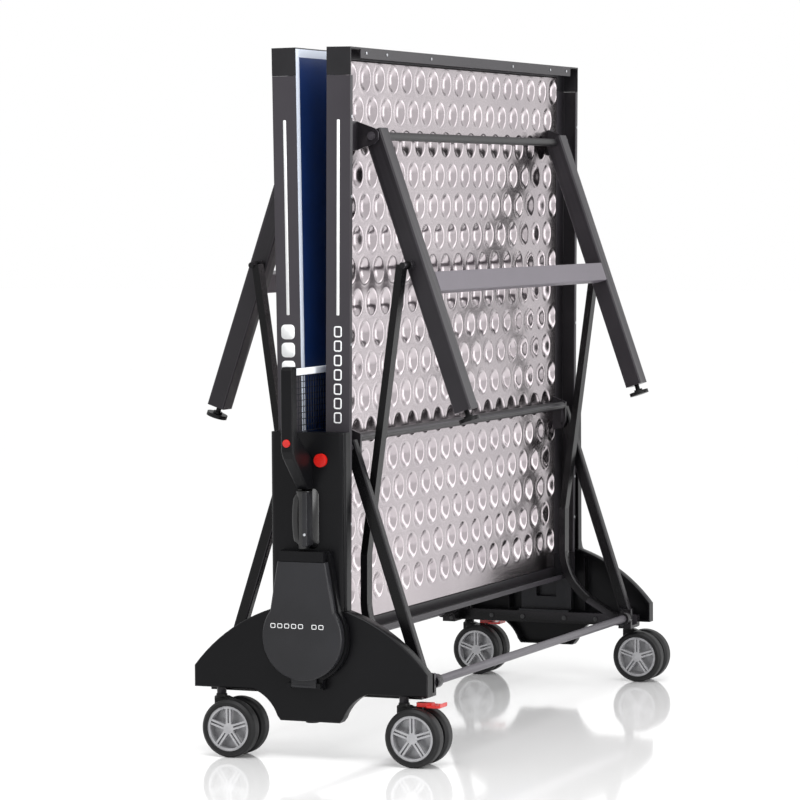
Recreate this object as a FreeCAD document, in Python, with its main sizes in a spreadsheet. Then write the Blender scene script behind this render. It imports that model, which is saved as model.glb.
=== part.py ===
import FreeCAD, Part
import math
import os
import Sketcher

# Folding outdoor ping pong table, stored upright on its wheeled carriage.
# Units are millimetres.  X is the fold direction, Y the table width, Z up.
# The origin is on the floor, under the middle of the net.

V = FreeCAD.Vector
doc = FreeCAD.newDocument("table")
sheet = doc.addObject("Spreadsheet::Sheet", "dims")

SIZES = {
    # halves
    "table_width": 1525.0,
    "half_length": 1370.0,
    "half_depth": 60.0,
    "lean_angle": 0.62,
    "stored_gap": 25.0,
    "stored_bottom": 280.0,
    "play_height": 760.0,
    "play_gap": 6.0,
    "board_thickness": 8.0,
    "recess_level": 21.7,
    "sheet_metal": 2.5,
    "ledge_width": 56.5,
    "side_flange": 14.5,
    "end_flange": 25.0,
    "low_flange": 12.0,
    "end_ledge": 27.0,
    "cap_length": 65.0,
    "cap_wall": 4.0,
    "joint_gap": 0.3,
    "cup_radius": 31.0,
    "cup_floor_radius": 17.0,
    "cup_depth": 11.0,
    "cup_pitch": 84.0,
    "row_pitch": 75.0,
    "first_row": 102.0,
    "screw_radius": 3.5,
    "screw_height": 1.6,
    # slider pin at the inner corner of each half
    "slider_depth": 15.0,
    "slider_pin_radius": 6.0,
    "shoe_width": 18.0,
    "shoe_height": 28.0,
    "shoe_depth": 16.0,
    # swing arms
    "arm_width": 28.0,
    "arm_depth": 24.0,
    "arm_along": 445.0,
    "arm_out": 45.0,
    "tube_wall": 2.5,
    "pivot_radius": 6.0,
    "bore_play": 0.35,
    "brace_along": 466.0,
    "brace_out": 47.0,
    "brace_radius": 11.0,
    # legs
    "leg_width": 44.0,
    "leg_depth": 52.0,
    "leg_out": 60.0,
    "leg_hang": 19.0,
    "leg_length": 676.0,
    "leg_from_end": 203.0,
    "leg_top": 13.0,
    "leg_tube_radius": 10.0,
    "bar_along": 366.0,
    "bar_height": 48.0,
    "bar_depth": 28.0,
    "bar_offset": 8.0,
    "foot_radius": 25.0,
    "foot_thickness": 9.0,
    "stud_radius": 6.0,
    # links
    "link_width": 34.0,
    "link_depth": 30.0,
    "link_foot_x": 260.0,
    "link_along": 315.0,
    "link_offset": 8.0,
    "link_clear": 12.0,
    "link_bend_radius": 150.0,
    # carriage
    "long_tube_radius": 10.0,
    "plate_thickness": 11.0,
    "beam_half_length": 268.0,
    "beam_height": 30.0,
    "beam_depth": 22.0,
    "caster_x": 232.0,
    "stem_radius": 13.0,
    "shaft_radius": 8.0,
    "shaft_play": 0.4,
    "socket_radius": 11.2,
    "cover_half_width": 296.0,
    "cover_wall": 3.5,
    "keel_top_half": 145.0,
    "keel_half": 83.0,
    "keel_foot_radius": 16.0,
    "rib_x": 110.0,
    "post_half_width": 94.0,
    "post_top": 763.0,
    "post_corner": 14.0,
    "channel_half": 72.0,
    "channel_depth": 20.0,
    "slot_play": 0.4,
    # release buttons
    "release_x": 36.5,
    "release_z": 699.0,
    "release_radius": 15.5,
    "release_stand": 8.0,
    # net set
    "net_post_half": 15.0,
    "net_post_top": 918.0,
    "net_post_seat": 633.0,
    "net_post_root": 700.0,
    "net_top": 912.5,
    "net_bottom": 766.0,
    "net_thickness": 2.0,
    "tape_height": 16.0,
    "tape_thickness": 5.0,
    "net_button_radius": 9.0,
    "net_button_z": 744.0,
    # ball and bat holder
    "holder_radius": 100.0,
    "holder_z": 290.0,
    "neck_rise": 60.0,
    "hinge_drop": 12.0,
    "neck_top_half": 56.0,
    "holder_top": 490.0,
    "lid_top": 466.0,
    "holder_wall": 3.0,
    "shell_margin": 6.0,
    "grip_bottom": 496.0,
    "grip_top": 628.0,
    "grip_radius": 14.0,
    # casters
    "wheel_radius": 68.0,
    "tyre_inner": 53.0,
    "tyre_width": 36.0,
    "wheel_gap": 20.0,
    "caster_trail": 36.0,
    "fork_thickness": 17.0,
    "hub_radius": 13.0,
    "axle_radius": 5.0,
    "spoke_width": 4.6,
    "spoke_spread": 4.2,
    "pedal_reach": 97.0,
    "pedal_width": 44.0,
    "pedal_x": 40.0,
    "tyre_clear": 3.0,
}

# Distances outward from the side edge of the table, so the carriage follows its width.
FROM_SIDE = {
    "arm_plane": -50.5,
    "leg_plane": -158.5,
    "link_plane": -94.5,
    "plate_face": -65.5,
    "beam_face": -17.5,
    "channel_face": 4.5,
    "cover_back": 5.5,
    "caster_y": 22.5,
    "cover_front": 37.5,
    "post_front": 41.5,
    "lid_face": 59.5,
    "holder_front": 79.5,
    "net_post_inner": 123.5,
    "net_post_front": 152.5,
}

# Heights above the top of the casters, so the carriage follows the size of its wheels.
FROM_CASTER = {
    "keel_bottom": -49.0,
    "pedal_z": 3.0,
    "beam_bottom": 11.0,
    "cover_bottom": 21.0,
    "link_foot_z": 41.0,
    "arm_foot_z": 51.0,
    "cover_tip": 71.0,
    "cover_top": 211.0,
}


class Size:
    """A number together with the sheet expression that gives it."""

    def __init__(self, value, text):
        self.value = value
        self.text = text

    def _join(self, other, sign, value):
        return Size(value, "(%s %s %s)" % (self.text, sign, size(other).text))

    def __add__(self, other):
        return self._join(other, "+", self.value + size(other).value)

    def __sub__(self, other):
        return self._join(other, "-", self.value - size(other).value)

    def __mul__(self, other):
        return self._join(other, "*", self.value * size(other).value)

    def __truediv__(self, other):
        return self._join(other, "/", self.value / size(other).value)

    def __neg__(self):
        return Size(-self.value, "(-1 * %s)" % self.text)

    def __radd__(self, other):
        return size(other) + self

    def __rsub__(self, other):
        return size(other) - self

    def __rmul__(self, other):
        return size(other) * self


def size(item):
    """Turns a plain number into a Size and leaves a Size alone."""
    if isinstance(item, Size):
        return item
    return Size(float(item), repr(float(item)))


class Sheet:
    """Gives each cell of the sheet as an attribute."""

    def __init__(self):
        self.row = 0

    def put(self, name, value):
        self.row += 1
        sheet.set("A%d" % self.row, name)
        sheet.set("B%d" % self.row, repr(float(value)))
        sheet.setAlias("B%d" % self.row, name)
        setattr(self, name, Size(float(value), "dims." + name))


D = Sheet()
for size_name, size_value in SIZES.items():
    D.put(size_name, size_value)
for size_name, size_value in {**FROM_SIDE, **FROM_CASTER}.items():
    D.put("step_" + size_name, size_value)
D.caster_top = D.wheel_radius * 2 + D.tyre_clear
for size_name in FROM_SIDE:
    setattr(D, size_name, D.table_width / 2 + getattr(D, "step_" + size_name))
for size_name in FROM_CASTER:
    setattr(D, size_name, D.caster_top + getattr(D, "step_" + size_name))
D.leg_along = D.half_length - D.leg_from_end
D.neck_z = D.holder_z + D.neck_rise
D.hinge_z = D.holder_z - D.holder_radius - D.hinge_drop


def rotated(along, out, angle):
    """X and Z of a point given along and out from a line leaning by angle degrees."""
    a = math.radians(angle)
    return (along * math.sin(a) + out * math.cos(a), along * math.cos(a) - out * math.sin(a))


def stored(along, out):
    """X and Z of a point on the stored right half."""
    x, z = rotated(along, out, D.lean_angle.value)
    return D.stored_gap.value + x, D.stored_bottom.value + z


def open_leg_splay(edge_x):
    """Outward angle of the leg in the playing position, where the link's length fits."""
    length = math.hypot(D.link_top_x.value - D.link_foot_x.value,
                        D.link_top_z.value - D.link_foot_z.value)
    low, high = -0.3, 0.6
    for _ in range(60):
        angle = (low + high) / 2
        x = (edge_x + D.leg_along.value + D.link_along.value * math.sin(angle)
             - D.link_offset.value * math.cos(angle))
        z = (D.play_height.value - D.leg_out.value - D.link_along.value * math.cos(angle)
             - D.link_offset.value * math.sin(angle))
        if math.hypot(x - D.link_foot_x.value, z - D.link_foot_z.value) < length:
            low = angle
        else:
            high = angle
    return low


def solve_places():
    """Works out the pivots that depend on several sizes and puts them on the sheet."""
    slider_along = D.stored_gap.value - D.play_gap.value + D.slider_depth.value
    slider_x, slider_z = stored(slider_along, D.slider_depth.value)
    D.put("slider_along", slider_along)
    D.put("slider_x", slider_x)
    D.put("slider_z", slider_z)
    arm_x, arm_z = stored(D.arm_along.value, D.arm_out.value)
    D.put("arm_top_x", arm_x)
    D.put("arm_top_z", arm_z)
    open_x = slider_x + D.arm_along.value - slider_along
    open_z = D.play_height.value - D.arm_out.value
    foot_x = (open_x ** 2 - arm_x ** 2 + (open_z - D.arm_foot_z.value) ** 2
              - (arm_z - D.arm_foot_z.value) ** 2) / (2 * (open_x - arm_x))
    D.put("arm_foot_x", foot_x)
    run = foot_x - arm_x
    rise = arm_z - D.arm_foot_z.value
    D.put("arm_length", math.hypot(run, rise))
    D.put("arm_slope", math.degrees(math.atan2(run, rise)))
    leg_x, leg_z = stored(D.leg_along.value, D.leg_out.value)
    D.put("leg_top_x", leg_x)
    D.put("leg_top_z", leg_z)
    hang = math.radians(D.leg_hang.value)
    D.put("link_top_x", leg_x + D.link_along.value * math.sin(hang)
          - D.link_offset.value * math.cos(hang))
    D.put("link_top_z", leg_z - D.link_along.value * math.cos(hang)
          - D.link_offset.value * math.sin(hang))
    D.put("neck_half", math.sqrt(D.holder_radius.value ** 2 - D.neck_rise.value ** 2))
    splay = open_leg_splay(slider_x - slider_along)
    D.put("foot_reach", (D.play_height.value - D.leg_out.value
                         - D.foot_radius.value * math.sin(splay)) / math.cos(splay))


solve_places()
doc.recompute()


# ---------------------------------------------------------------- helpers

def bind(obj, prop, value):
    """Ties one property of an object to the sheet."""
    obj.setExpression(prop, size(value).text)


def add(kind, name="item"):
    return doc.addObject(kind, name)


def box(x0, x1, y0, y1, z0, z1):
    """A block between two corners."""
    item = add("Part::Box", "block")
    for prop, low, high in (("Length", x0, x1), ("Width", y0, y1), ("Height", z0, z1)):
        bind(item, prop, size(high) - low)
    for axis, low in (("x", x0), ("y", y0), ("z", z0)):
        bind(item, "Placement.Base." + axis, low)
    return item


TURNS = {
    "x": FreeCAD.Rotation(V(0, 1, 0), 90),
    "y": FreeCAD.Rotation(V(1, 0, 0), -90),
    "z": FreeCAD.Rotation(),
}


def rod(axis, radius, low, high, first, second):
    """A round bar along an axis; first and second place it on the other two axes."""
    item = add("Part::Cylinder", "bar")
    bind(item, "Radius", radius)
    bind(item, "Height", size(high) - low)
    item.Placement = FreeCAD.Placement(V(), TURNS[axis])
    order = {"x": ("x", "y", "z"), "y": ("y", "x", "z"), "z": ("z", "x", "y")}[axis]
    for name, value in zip(order, (low, first, second)):
        bind(item, "Placement.Base." + name, value)
    return item


def fuse(items):
    item = add("Part::MultiFuse", "joined")
    item.Shapes = items
    return item


def cut(base, tools):
    item = add("Part::Cut", "trimmed")
    item.Base = base
    item.Tool = tools[0] if len(tools) == 1 else group(tools)
    return item


def group(items):
    item = add("Part::Compound", "set")
    item.Links = items
    return item


def mirror(source, axis):
    item = add("Part::Mirroring", "mirrored")
    item.Source = source
    item.Normal = {"x": V(1, 0, 0), "y": V(0, 1, 0)}[axis]
    return item


def both_ends(item):
    """The item at the near end and its mirror image at the far end."""
    return group([item, mirror(item, "y")])


def place(item, x, z, angle=0.0, y=0.0):
    """Moves an item and turns it about the Y axis by a bound angle."""
    item.Placement = FreeCAD.Placement(V(), FreeCAD.Rotation(V(0, 1, 0), 1))
    bind(item, "Placement.Rotation.Angle", angle)
    for axis, value in (("x", x), ("y", y), ("z", z)):
        bind(item, "Placement.Base." + axis, value)
    return item


def on_half(item):
    """Puts an item made in the half's own frame onto the stored right half."""
    return place(item, D.stored_gap, D.stored_bottom, D.lean_angle)


def arc_between(start, end, radius, large):
    """Anticlockwise arc between two points; a negative radius bends the other way."""
    mid = (start + end) * 0.5
    chord = end - start
    rise = math.sqrt(max(radius * radius - chord.Length ** 2 / 4.0, 0.0))
    side = V(-chord.y, chord.x, 0).normalize()
    towards = (radius > 0) != large
    centre = mid + side * (rise if towards else -rise)
    first, last = (start, end) if radius > 0 else (end, start)
    low = math.atan2(first.y - centre.y, first.x - centre.x)
    high = math.atan2(last.y - centre.y, last.x - centre.x)
    if high < low:
        high += 2 * math.pi
    circle = Part.Circle(centre, V(0, 0, 1), abs(radius))
    return Part.ArcOfCircle(circle, low, high)


def tie(sketch, kind, places, value):
    """Adds one constraint whose value comes from the sheet."""
    number = sketch.addConstraint(Sketcher.Constraint(kind, *places, value.value))
    sketch.setExpression("Constraints[%d]" % number, value.text)


def draw(sketch, outline, closed=True):
    """Draws lines and arcs through corners (x, y[, radius[, large]]), all tied to the sheet.

    A corner's radius bends the edge that leaves it: positive anticlockwise.
    """
    corners = [(size(c[0]), size(c[1])) for c in outline]
    points = [V(x.value, y.value, 0) for x, y in corners]
    count = len(outline) if closed else len(outline) - 1
    ends = []
    for i in range(count):
        start, end = points[i], points[(i + 1) % len(points)]
        bend = size(outline[i][2]) if len(outline[i]) > 2 else None
        if bend is None:
            sketch.addGeometry(Part.LineSegment(start, end), False)
            ends.append((1, 2))
        else:
            sketch.addGeometry(arc_between(start, end, bend.value, len(outline[i]) > 3), False)
            ends.append((1, 2) if bend.value > 0 else (2, 1))
    for i in range(count):
        tie(sketch, "DistanceX", (-1, 1, i, ends[i][0]), corners[i][0])
        tie(sketch, "DistanceY", (-1, 1, i, ends[i][0]), corners[i][1])
        if len(outline[i]) > 2:
            bend = size(outline[i][2])
            tie(sketch, "Radius", (i,), bend if bend.value > 0 else -bend)
        if closed or i + 1 < count:
            j = (i + 1) % count
            sketch.addConstraint(Sketcher.Constraint("Coincident", i, ends[i][1], j, ends[j][0]))
    if not closed:
        tie(sketch, "DistanceX", (-1, 1, count - 1, ends[-1][1]), corners[-1][0])
        tie(sketch, "DistanceY", (-1, 1, count - 1, ends[-1][1]), corners[-1][1])


def sketch_in(body, plane, start):
    """An empty sketch on one of the body's own planes, moved along its normal."""
    sketch = body.newObject("Sketcher::SketchObject", "outline")
    planes = [f for f in body.Origin.OriginFeatures if f.Role == plane]
    sketch.AttachmentSupport = [(planes[0], "")]
    sketch.MapMode = "FlatFace"
    bind(sketch, "AttachmentOffset.Base.z", start)
    return sketch


def pad(body, sketch, length, middle=False):
    feature = body.newObject("PartDesign::Pad", "pad")
    feature.Profile = sketch
    bind(feature, "Length", length)
    if middle:
        feature.Midplane = True
    doc.recompute()
    return feature


def prism(plane, outline, start, length, middle=False):
    """A body padded from an outline on a plane; XZ outlines are padded towards -Y."""
    body = add("PartDesign::Body", "body")
    sketch = sketch_in(body, plane, start)
    draw(sketch, outline)
    pad(body, sketch, length, middle)
    return body


def rounded(body, radius, chosen, kind="Fillet"):
    """Rounds or chamfers the edges of the body's last feature that the test picks."""
    base = body.Tip
    names = ["Edge%d" % (i + 1) for i, edge in enumerate(base.Shape.Edges) if chosen(edge)]
    feature = body.newObject("PartDesign::" + kind, "rounding")
    feature.Base = (base, names)
    bind(feature, "Radius" if kind == "Fillet" else "Size", radius)
    doc.recompute()
    return body


def runs_along(axis, longer_than=0.0):
    """A test for straight edges along an axis."""
    wanted = {"x": V(1, 0, 0), "y": V(0, 1, 0), "z": V(0, 0, 1)}[axis]

    def test(edge):
        if not isinstance(edge.Curve, Part.Line) or edge.Length < longer_than:
            return False
        return abs(edge.tangentAt(edge.FirstParameter).dot(wanted)) > 0.999
    return test


def rectangle(x0, x1, y0, y1):
    return [(x0, y0), (x1, y0), (x1, y1), (x0, y1)]


NODES = []


def node(name, item):
    """Names a finished sub-part; its file takes the same name."""
    item.Label = name
    NODES.append(item)
    return item


def pair(name, right):
    """A sub-part of the right half and its mirror image on the left."""
    node(name + "_right", right)
    node(name + "_left", mirror(right, "x"))


# ---------------------------------------------------------------- halves

def play_board():
    """Flat board whose inner face is the playing surface."""
    edge = D.sheet_metal + D.joint_gap
    half = D.table_width / 2 - edge
    outline = rectangle(0, D.board_thickness, edge, D.half_length - edge)
    pair("play_board", on_half(prism("XZ_Plane", outline, 0, half * 2, True)))


def cup_punches():
    """Cone punches for the cups of the embossed sheet, in staggered rows."""
    cups = []
    along = D.half_length - D.first_row - D.cup_radius
    rows = int(along.value // D.row_pitch.value) + 1
    reach = D.table_width / 2 - D.sheet_metal - D.ledge_width - D.cup_radius
    across = int(reach.value // D.cup_pitch.value)
    level = D.recess_level.value
    for row in range(rows):
        shift = (row % 2) * 0.5
        for step in range(-across, across + 1 - row % 2):
            cone = Part.makeCone(D.cup_radius.value, D.cup_floor_radius.value,
                                 D.cup_depth.value,
                                 V(level, (step + shift) * D.cup_pitch.value,
                                   D.first_row.value + row * D.row_pitch.value),
                                 V(-1, 0, 0))
            cups.append(cone)
    return cups


def cup_sheet():
    """Embossed metal sheet behind the board, with a field of round cups."""
    edge = D.end_ledge + D.joint_gap
    half = D.table_width / 2 - D.sheet_metal - D.ledge_width - D.joint_gap
    plate = box(D.board_thickness, D.recess_level, -half, half, edge, D.half_length - edge)
    punches = add("Part::Feature", "punches")
    punches.Shape = Part.makeCompound(cup_punches())
    pair("cup_sheet", on_half(cut(plate, [punches])))


def side_rail_outline():
    """Section of the side rail, Y outwards and X away from the playing surface."""
    outer = D.table_width / 2
    inner = outer - D.sheet_metal
    ledge = outer - D.sheet_metal - D.ledge_width
    back = D.half_depth - D.sheet_metal
    under = D.recess_level - D.sheet_metal
    return [(0, -outer), (D.half_depth, -outer), (D.half_depth, -outer + D.side_flange),
            (back, -outer + D.side_flange), (back, -inner), (D.recess_level, -inner),
            (D.recess_level, -ledge), (under, -ledge), (under, -inner), (0, -inner)]


def end_rail_outline(flange):
    """Section of an end rail, Z from the edge of the half."""
    wall = D.sheet_metal
    back = D.half_depth - wall
    under = D.recess_level - wall
    return [(0, 0), (D.half_depth, 0), (D.half_depth, flange), (back, flange),
            (back, wall), (D.recess_level, wall), (D.recess_level, D.end_ledge),
            (under, D.end_ledge), (under, wall), (0, wall)]


def flipped(item, about):
    """Mirror image of an item across the half's middle."""
    image = add("Part::Mirroring", "flipped")
    image.Source = item
    image.Normal = V(0, 0, 1)
    bind(image, "Base.z", about)
    return image


def rails():
    """Folded steel rails round the half: two along the sides and two along the ends."""
    length = D.half_length - D.cap_length * 2 - D.joint_gap * 2
    side = prism("XY_Plane", side_rail_outline(), D.cap_length + D.joint_gap, length)
    span = (D.table_width / 2 - D.sheet_metal - D.ledge_width - D.joint_gap) * 2
    low = prism("XZ_Plane", end_rail_outline(D.low_flange), 0, span, True)
    high = prism("XZ_Plane", end_rail_outline(D.end_flange), 0, span, True)
    items = [side, mirror(side, "y"), low, flipped(high, D.half_length / 2)]
    pair("rails", on_half(group(items)))


def corner_caps():
    """Plastic caps that close the four corners of the frame."""
    outer = D.table_width / 2
    start = outer - D.sheet_metal - D.ledge_width
    block = box(0, D.half_depth, -outer, -start, 0, D.cap_length)
    under = box(-1, D.recess_level - D.sheet_metal, -outer + D.sheet_metal, -start + 1,
                D.sheet_metal, D.cap_length + 1)
    over = box(D.recess_level, D.half_depth + 1, -outer + D.cap_wall, -start + 1,
               D.cap_wall, D.cap_length + 1)
    bore = rod("y", D.slider_pin_radius + D.bore_play, -outer - 1, -outer + D.sheet_metal + 1,
               D.slider_depth, D.slider_along)
    low = cut(block, [under, over, bore])
    plain = cut(block, [under, over])
    high = flipped(plain, D.half_length / 2)
    pair("corner_caps", on_half(group([low, mirror(low, "y"), high, mirror(high, "y")])))


SCREW_STEPS = (-0.383, -0.303, -0.249, 0.0, 0.249, 0.383)
END_SCREW_STEPS = (-0.44, -0.36, -0.18, 0.18, 0.36, 0.44)


def rail_screws():
    """Round screw heads along the back flanges of the rails."""
    heads = []
    top = D.half_depth + D.screw_height
    side = D.table_width / 2 - D.side_flange / 2
    for step in SCREW_STEPS:
        along = D.half_length * (0.5 + step)
        head = rod("x", D.screw_radius, D.half_depth, top, -side, along)
        heads += [head, mirror(head, "y")]
    along = D.half_length - D.end_flange / 2
    for step in END_SCREW_STEPS:
        heads.append(rod("x", D.screw_radius, D.half_depth, top, D.table_width * step, along))
    pair("rail_screws", on_half(group(heads)))


def half_brackets():
    """Brackets for the swing arms and the legs, with the brace tube between them."""
    plate_in = D.arm_plane - D.arm_depth / 2 - 14
    plate_out = plate_in + 8
    arm_plate = prism("XZ_Plane",
                      [(D.recess_level, D.arm_along - 44), (D.arm_out + 4, D.arm_along - 40),
                       (D.arm_out + 13, D.arm_along - 22), (D.arm_out + 13, D.arm_along + 30),
                       (D.recess_level, D.arm_along + 44)],
                      plate_in, plate_out - plate_in)
    pin = rod("y", D.pivot_radius, -(D.arm_plane + D.arm_depth / 2 + 3), -plate_in - 1,
              D.arm_out, D.arm_along)
    head = rod("y", D.pivot_radius + 3, -(D.arm_plane + D.arm_depth / 2 + 7),
               -(D.arm_plane + D.arm_depth / 2 + 2), D.arm_out, D.arm_along)
    bolt = rod("y", D.pivot_radius, -plate_in - 1, -plate_in + 5, D.arm_out - 2,
               D.arm_along - 30)
    brace = rod("y", D.brace_radius, -plate_in - 1, plate_in + 1, D.brace_out, D.brace_along)
    wall = D.leg_plane + D.leg_depth / 2 + 6
    leg_plate = prism("XZ_Plane",
                      [(D.recess_level, D.leg_along - 34), (D.leg_out + 8, D.leg_along - 18),
                       (D.leg_out + 17, D.leg_along - 9), (D.leg_out + 17, D.leg_along + 9),
                       (D.leg_out + 8, D.leg_along + 18), (D.recess_level, D.leg_along + 34)],
                      wall, D.cap_wall)
    flange = box(D.recess_level, D.recess_level + D.sheet_metal, -wall - 40, -wall - 1,
                 D.leg_along - 34, D.leg_along + 34)
    hole = rod("y", D.leg_tube_radius + D.bore_play, -wall - 10, -wall + 10,
               D.leg_out, D.leg_along)
    near = [fuse([arm_plate, pin, head, bolt]), cut(fuse([leg_plate, flange]), [hole])]
    arms = fuse([near[0], mirror(near[0], "y"), brace])
    pair("half_brackets", on_half(group([arms, near[1], mirror(near[1], "y")])))


# ---------------------------------------------------------------- moving frames

def slider_shoes():
    """Blocks that slide in the posts and carry the inner corners of a half."""
    face = D.channel_face + 2
    block = box(D.slider_x - D.shoe_width / 2, D.slider_x + D.shoe_width / 2,
                -face - D.shoe_depth, -face,
                D.slider_z - D.shoe_height / 2, D.slider_z + D.shoe_height / 2)
    pin = rod("y", D.slider_pin_radius, -face - 1,
              -(D.table_width / 2 - D.sheet_metal + D.joint_gap), D.slider_x, D.slider_z)
    pair("slider_shoes", both_ends(fuse([block, pin])))


def swing_arms():
    """Straight tube arms from the carriage up to the half."""
    body = prism("XY_Plane",
                 rectangle(-D.arm_width / 2, D.arm_width / 2, -D.arm_depth / 2, D.arm_depth / 2),
                 -D.arm_width / 2, D.arm_length + D.arm_width)
    rounded(body, 4, runs_along("z"))
    hollow = box(-D.arm_width / 2 + D.tube_wall, D.arm_width / 2 - D.tube_wall,
                 -D.arm_depth / 2 + D.tube_wall, D.arm_depth / 2 - D.tube_wall,
                 D.arm_width, D.arm_length - D.arm_width)
    bore = rod("y", D.pivot_radius + D.bore_play, -D.arm_depth, D.arm_depth, 0, D.arm_length)
    foot = rod("y", D.pivot_radius + 3, -D.arm_depth / 2 - 3, D.arm_depth / 2 + 2, 0, 0)
    arm = fuse([cut(body, [hollow, bore]), foot])
    near = place(arm, D.arm_foot_x, D.arm_foot_z, -D.arm_slope, -D.arm_plane)
    pair("swing_arms", both_ends(near))


def on_leg(item, y=0.0):
    """Puts an item made in the leg's own frame onto the stored right leg."""
    return place(item, D.leg_top_x, D.leg_top_z, -D.leg_hang, y)


def legs():
    """Rectangular leg tubes, with a plug at the bottom end."""
    body = prism("XY_Plane",
                 rectangle(-D.leg_width / 2, D.leg_width / 2, -D.leg_depth / 2, D.leg_depth / 2),
                 -D.leg_length, D.leg_length + D.leg_top)
    rounded(body, 4, runs_along("z"))
    hollow = box(-D.leg_width / 2 + D.tube_wall, D.leg_width / 2 - D.tube_wall,
                 -D.leg_depth / 2 + D.tube_wall, D.leg_depth / 2 - D.tube_wall,
                 -D.leg_length + 22, -D.leg_width / 2)
    bore = rod("y", D.leg_tube_radius + 0.1, -D.leg_depth, D.leg_depth, 0, 0)
    socket = rod("z", D.stud_radius + 0.3, -D.leg_length - 1, -D.leg_length + 24, 0, 0)
    leg = on_leg(cut(body, [hollow, bore, socket]), -D.leg_plane)
    pair("legs", both_ends(leg))


def leg_bars():
    """Pivot tube through the leg tops and the flat bar between the legs."""
    reach = D.leg_plane + D.leg_depth / 2 + 12
    pivot = rod("y", D.leg_tube_radius, -reach, reach, 0, 0)
    washer = rod("y", D.leg_tube_radius + 5, -reach + 6.5, -reach + 11.7, 0, 0)
    tube = fuse([pivot, washer, mirror(washer, "y")])
    span = D.leg_plane - D.leg_depth / 2
    outline = rectangle(D.bar_offset - D.bar_depth / 2, D.bar_offset + D.bar_depth / 2,
                        -D.bar_along - D.bar_height / 2, -D.bar_along + D.bar_height / 2)
    bar = prism("XZ_Plane", outline, 0, span * 2, True)
    rounded(bar, 3, runs_along("y"))
    pair("leg_bars", on_leg(group([tube, bar])))


def levelling_feet():
    """Screw feet in the ends of the legs, one file each."""
    for name, side, end in (("near_right", 1, -1), ("far_right", 1, 1),
                            ("near_left", -1, -1), ("far_left", -1, 1)):
        stud = rod("z", D.stud_radius, -D.foot_reach + D.foot_thickness - 1,
                   -D.leg_length + 14, 0, 0)
        nut = rod("z", D.stud_radius + 5, -D.foot_reach + D.foot_thickness - 1,
                  -D.foot_reach + D.foot_thickness + 5, 0, 0)
        disc = rod("z", D.foot_radius, -D.foot_reach, -D.foot_reach + D.foot_thickness, 0, 0)
        foot = on_leg(fuse([stud, nut, disc]), D.leg_plane * end)
        node("foot_" + name, foot if side > 0 else mirror(foot, "x"))


def link_path():
    """Corners of the link's centre line, from the foot pivot to the leg pivot."""
    bend = D.stored_gap + D.half_depth + D.link_clear
    return [(D.link_foot_x, D.link_foot_z),
            (bend + 67, D.link_foot_z + 56, -D.link_bend_radius),
            (bend, D.link_foot_z + 176),
            (bend + 1, D.link_foot_z + 290),
            (D.link_top_x, D.link_top_z)]


def links():
    """Bent flat-sided links from the carriage's long tube to the legs."""
    body = add("PartDesign::Body", "path")
    sketch = sketch_in(body, "XZ_Plane", D.link_plane - D.link_depth / 2)
    draw(sketch, link_path(), False)
    doc.recompute()
    offset = add("Part::Offset2D", "width")
    offset.Source = sketch
    bind(offset, "Value", D.link_width / 2)
    offset.Mode = "Skin"
    offset.Join = "Arc"
    offset.Fill = True
    solid = add("Part::Extrusion", "bar")
    solid.Base = offset
    solid.DirMode = "Custom"
    solid.Dir = V(0, -1, 0)
    bind(solid, "LengthFwd", D.link_depth)
    solid.Solid = True
    sleeve = rod("y", D.long_tube_radius + 6, -D.link_plane - D.link_depth / 2,
                 -D.link_plane + D.link_depth / 2, D.link_foot_x, D.link_foot_z)
    bore = rod("y", D.long_tube_radius + 0.3, -D.link_plane - 30, -D.link_plane + 30,
               D.link_foot_x, D.link_foot_z)
    pin = rod("y", D.pivot_radius, -D.link_plane, -(D.leg_plane + D.leg_depth / 2 + 0.6),
              D.link_top_x, D.link_top_z)
    spacer = rod("y", D.pivot_radius + 4, -D.link_plane + D.link_depth / 2 - 1,
                 -(D.leg_plane + D.leg_depth / 2 + 0.6), D.link_top_x, D.link_top_z)
    head = rod("y", D.pivot_radius + 1, -D.link_plane - D.link_depth / 2 - 4, -D.link_plane,
               D.link_top_x, D.link_top_z)
    whole = cut(fuse([solid, sleeve, pin, spacer, head]), [bore])
    pair("links", both_ends(whole))


# ---------------------------------------------------------------- carriage

def end_frames():
    """Steel beam across each end, with caster sockets and the pivot plates."""
    beam = box(-D.beam_half_length, D.beam_half_length, -D.beam_face - D.beam_depth,
               -D.beam_face, D.beam_bottom, D.beam_bottom + D.beam_height)
    parts = [beam]
    for side in (-1, 1):
        x = D.caster_x * side
        parts.append(rod("z", D.socket_radius, D.beam_bottom - 6, D.beam_bottom + 44,
                         x, -D.caster_y))
        arm_low = D.cover_bottom + D.cover_wall + D.joint_gap
        parts.append(box(x - 10, x + 10, -D.caster_y, -D.beam_face - 1, arm_low,
                         D.beam_bottom + D.beam_height - 2))
        plate_out = D.plate_face
        plate_in = D.plate_face - D.plate_thickness
        inner = (D.link_foot_x - 24) * side
        outer = (D.link_foot_x + 11) * side
        low, high = (inner, outer) if side > 0 else (outer, inner)
        parts.append(box(low, high, -plate_out, -plate_in, D.beam_bottom,
                         D.link_foot_z + 22))
        parts.append(box(low, high, -D.beam_face - 4, -plate_in, D.beam_bottom,
                         D.beam_bottom + 8))
    stems = []
    for side in (-1, 1):
        stems.append(rod("z", D.shaft_radius + D.shaft_play, D.beam_bottom - 10,
                         D.beam_bottom + 30, D.caster_x * side, -D.caster_y))
    node("end_frames", both_ends(cut(fuse(parts), stems)))


def long_tubes():
    """Two tubes that join the end frames and carry the foot of each link."""
    reach = D.plate_face - D.plate_thickness
    right = rod("y", D.long_tube_radius, -reach, reach, D.link_foot_x, D.link_foot_z)
    node("long_tubes", group([right, mirror(right, "x")]))


BEAM_BOLTS = (60.0, 150.0)


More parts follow.
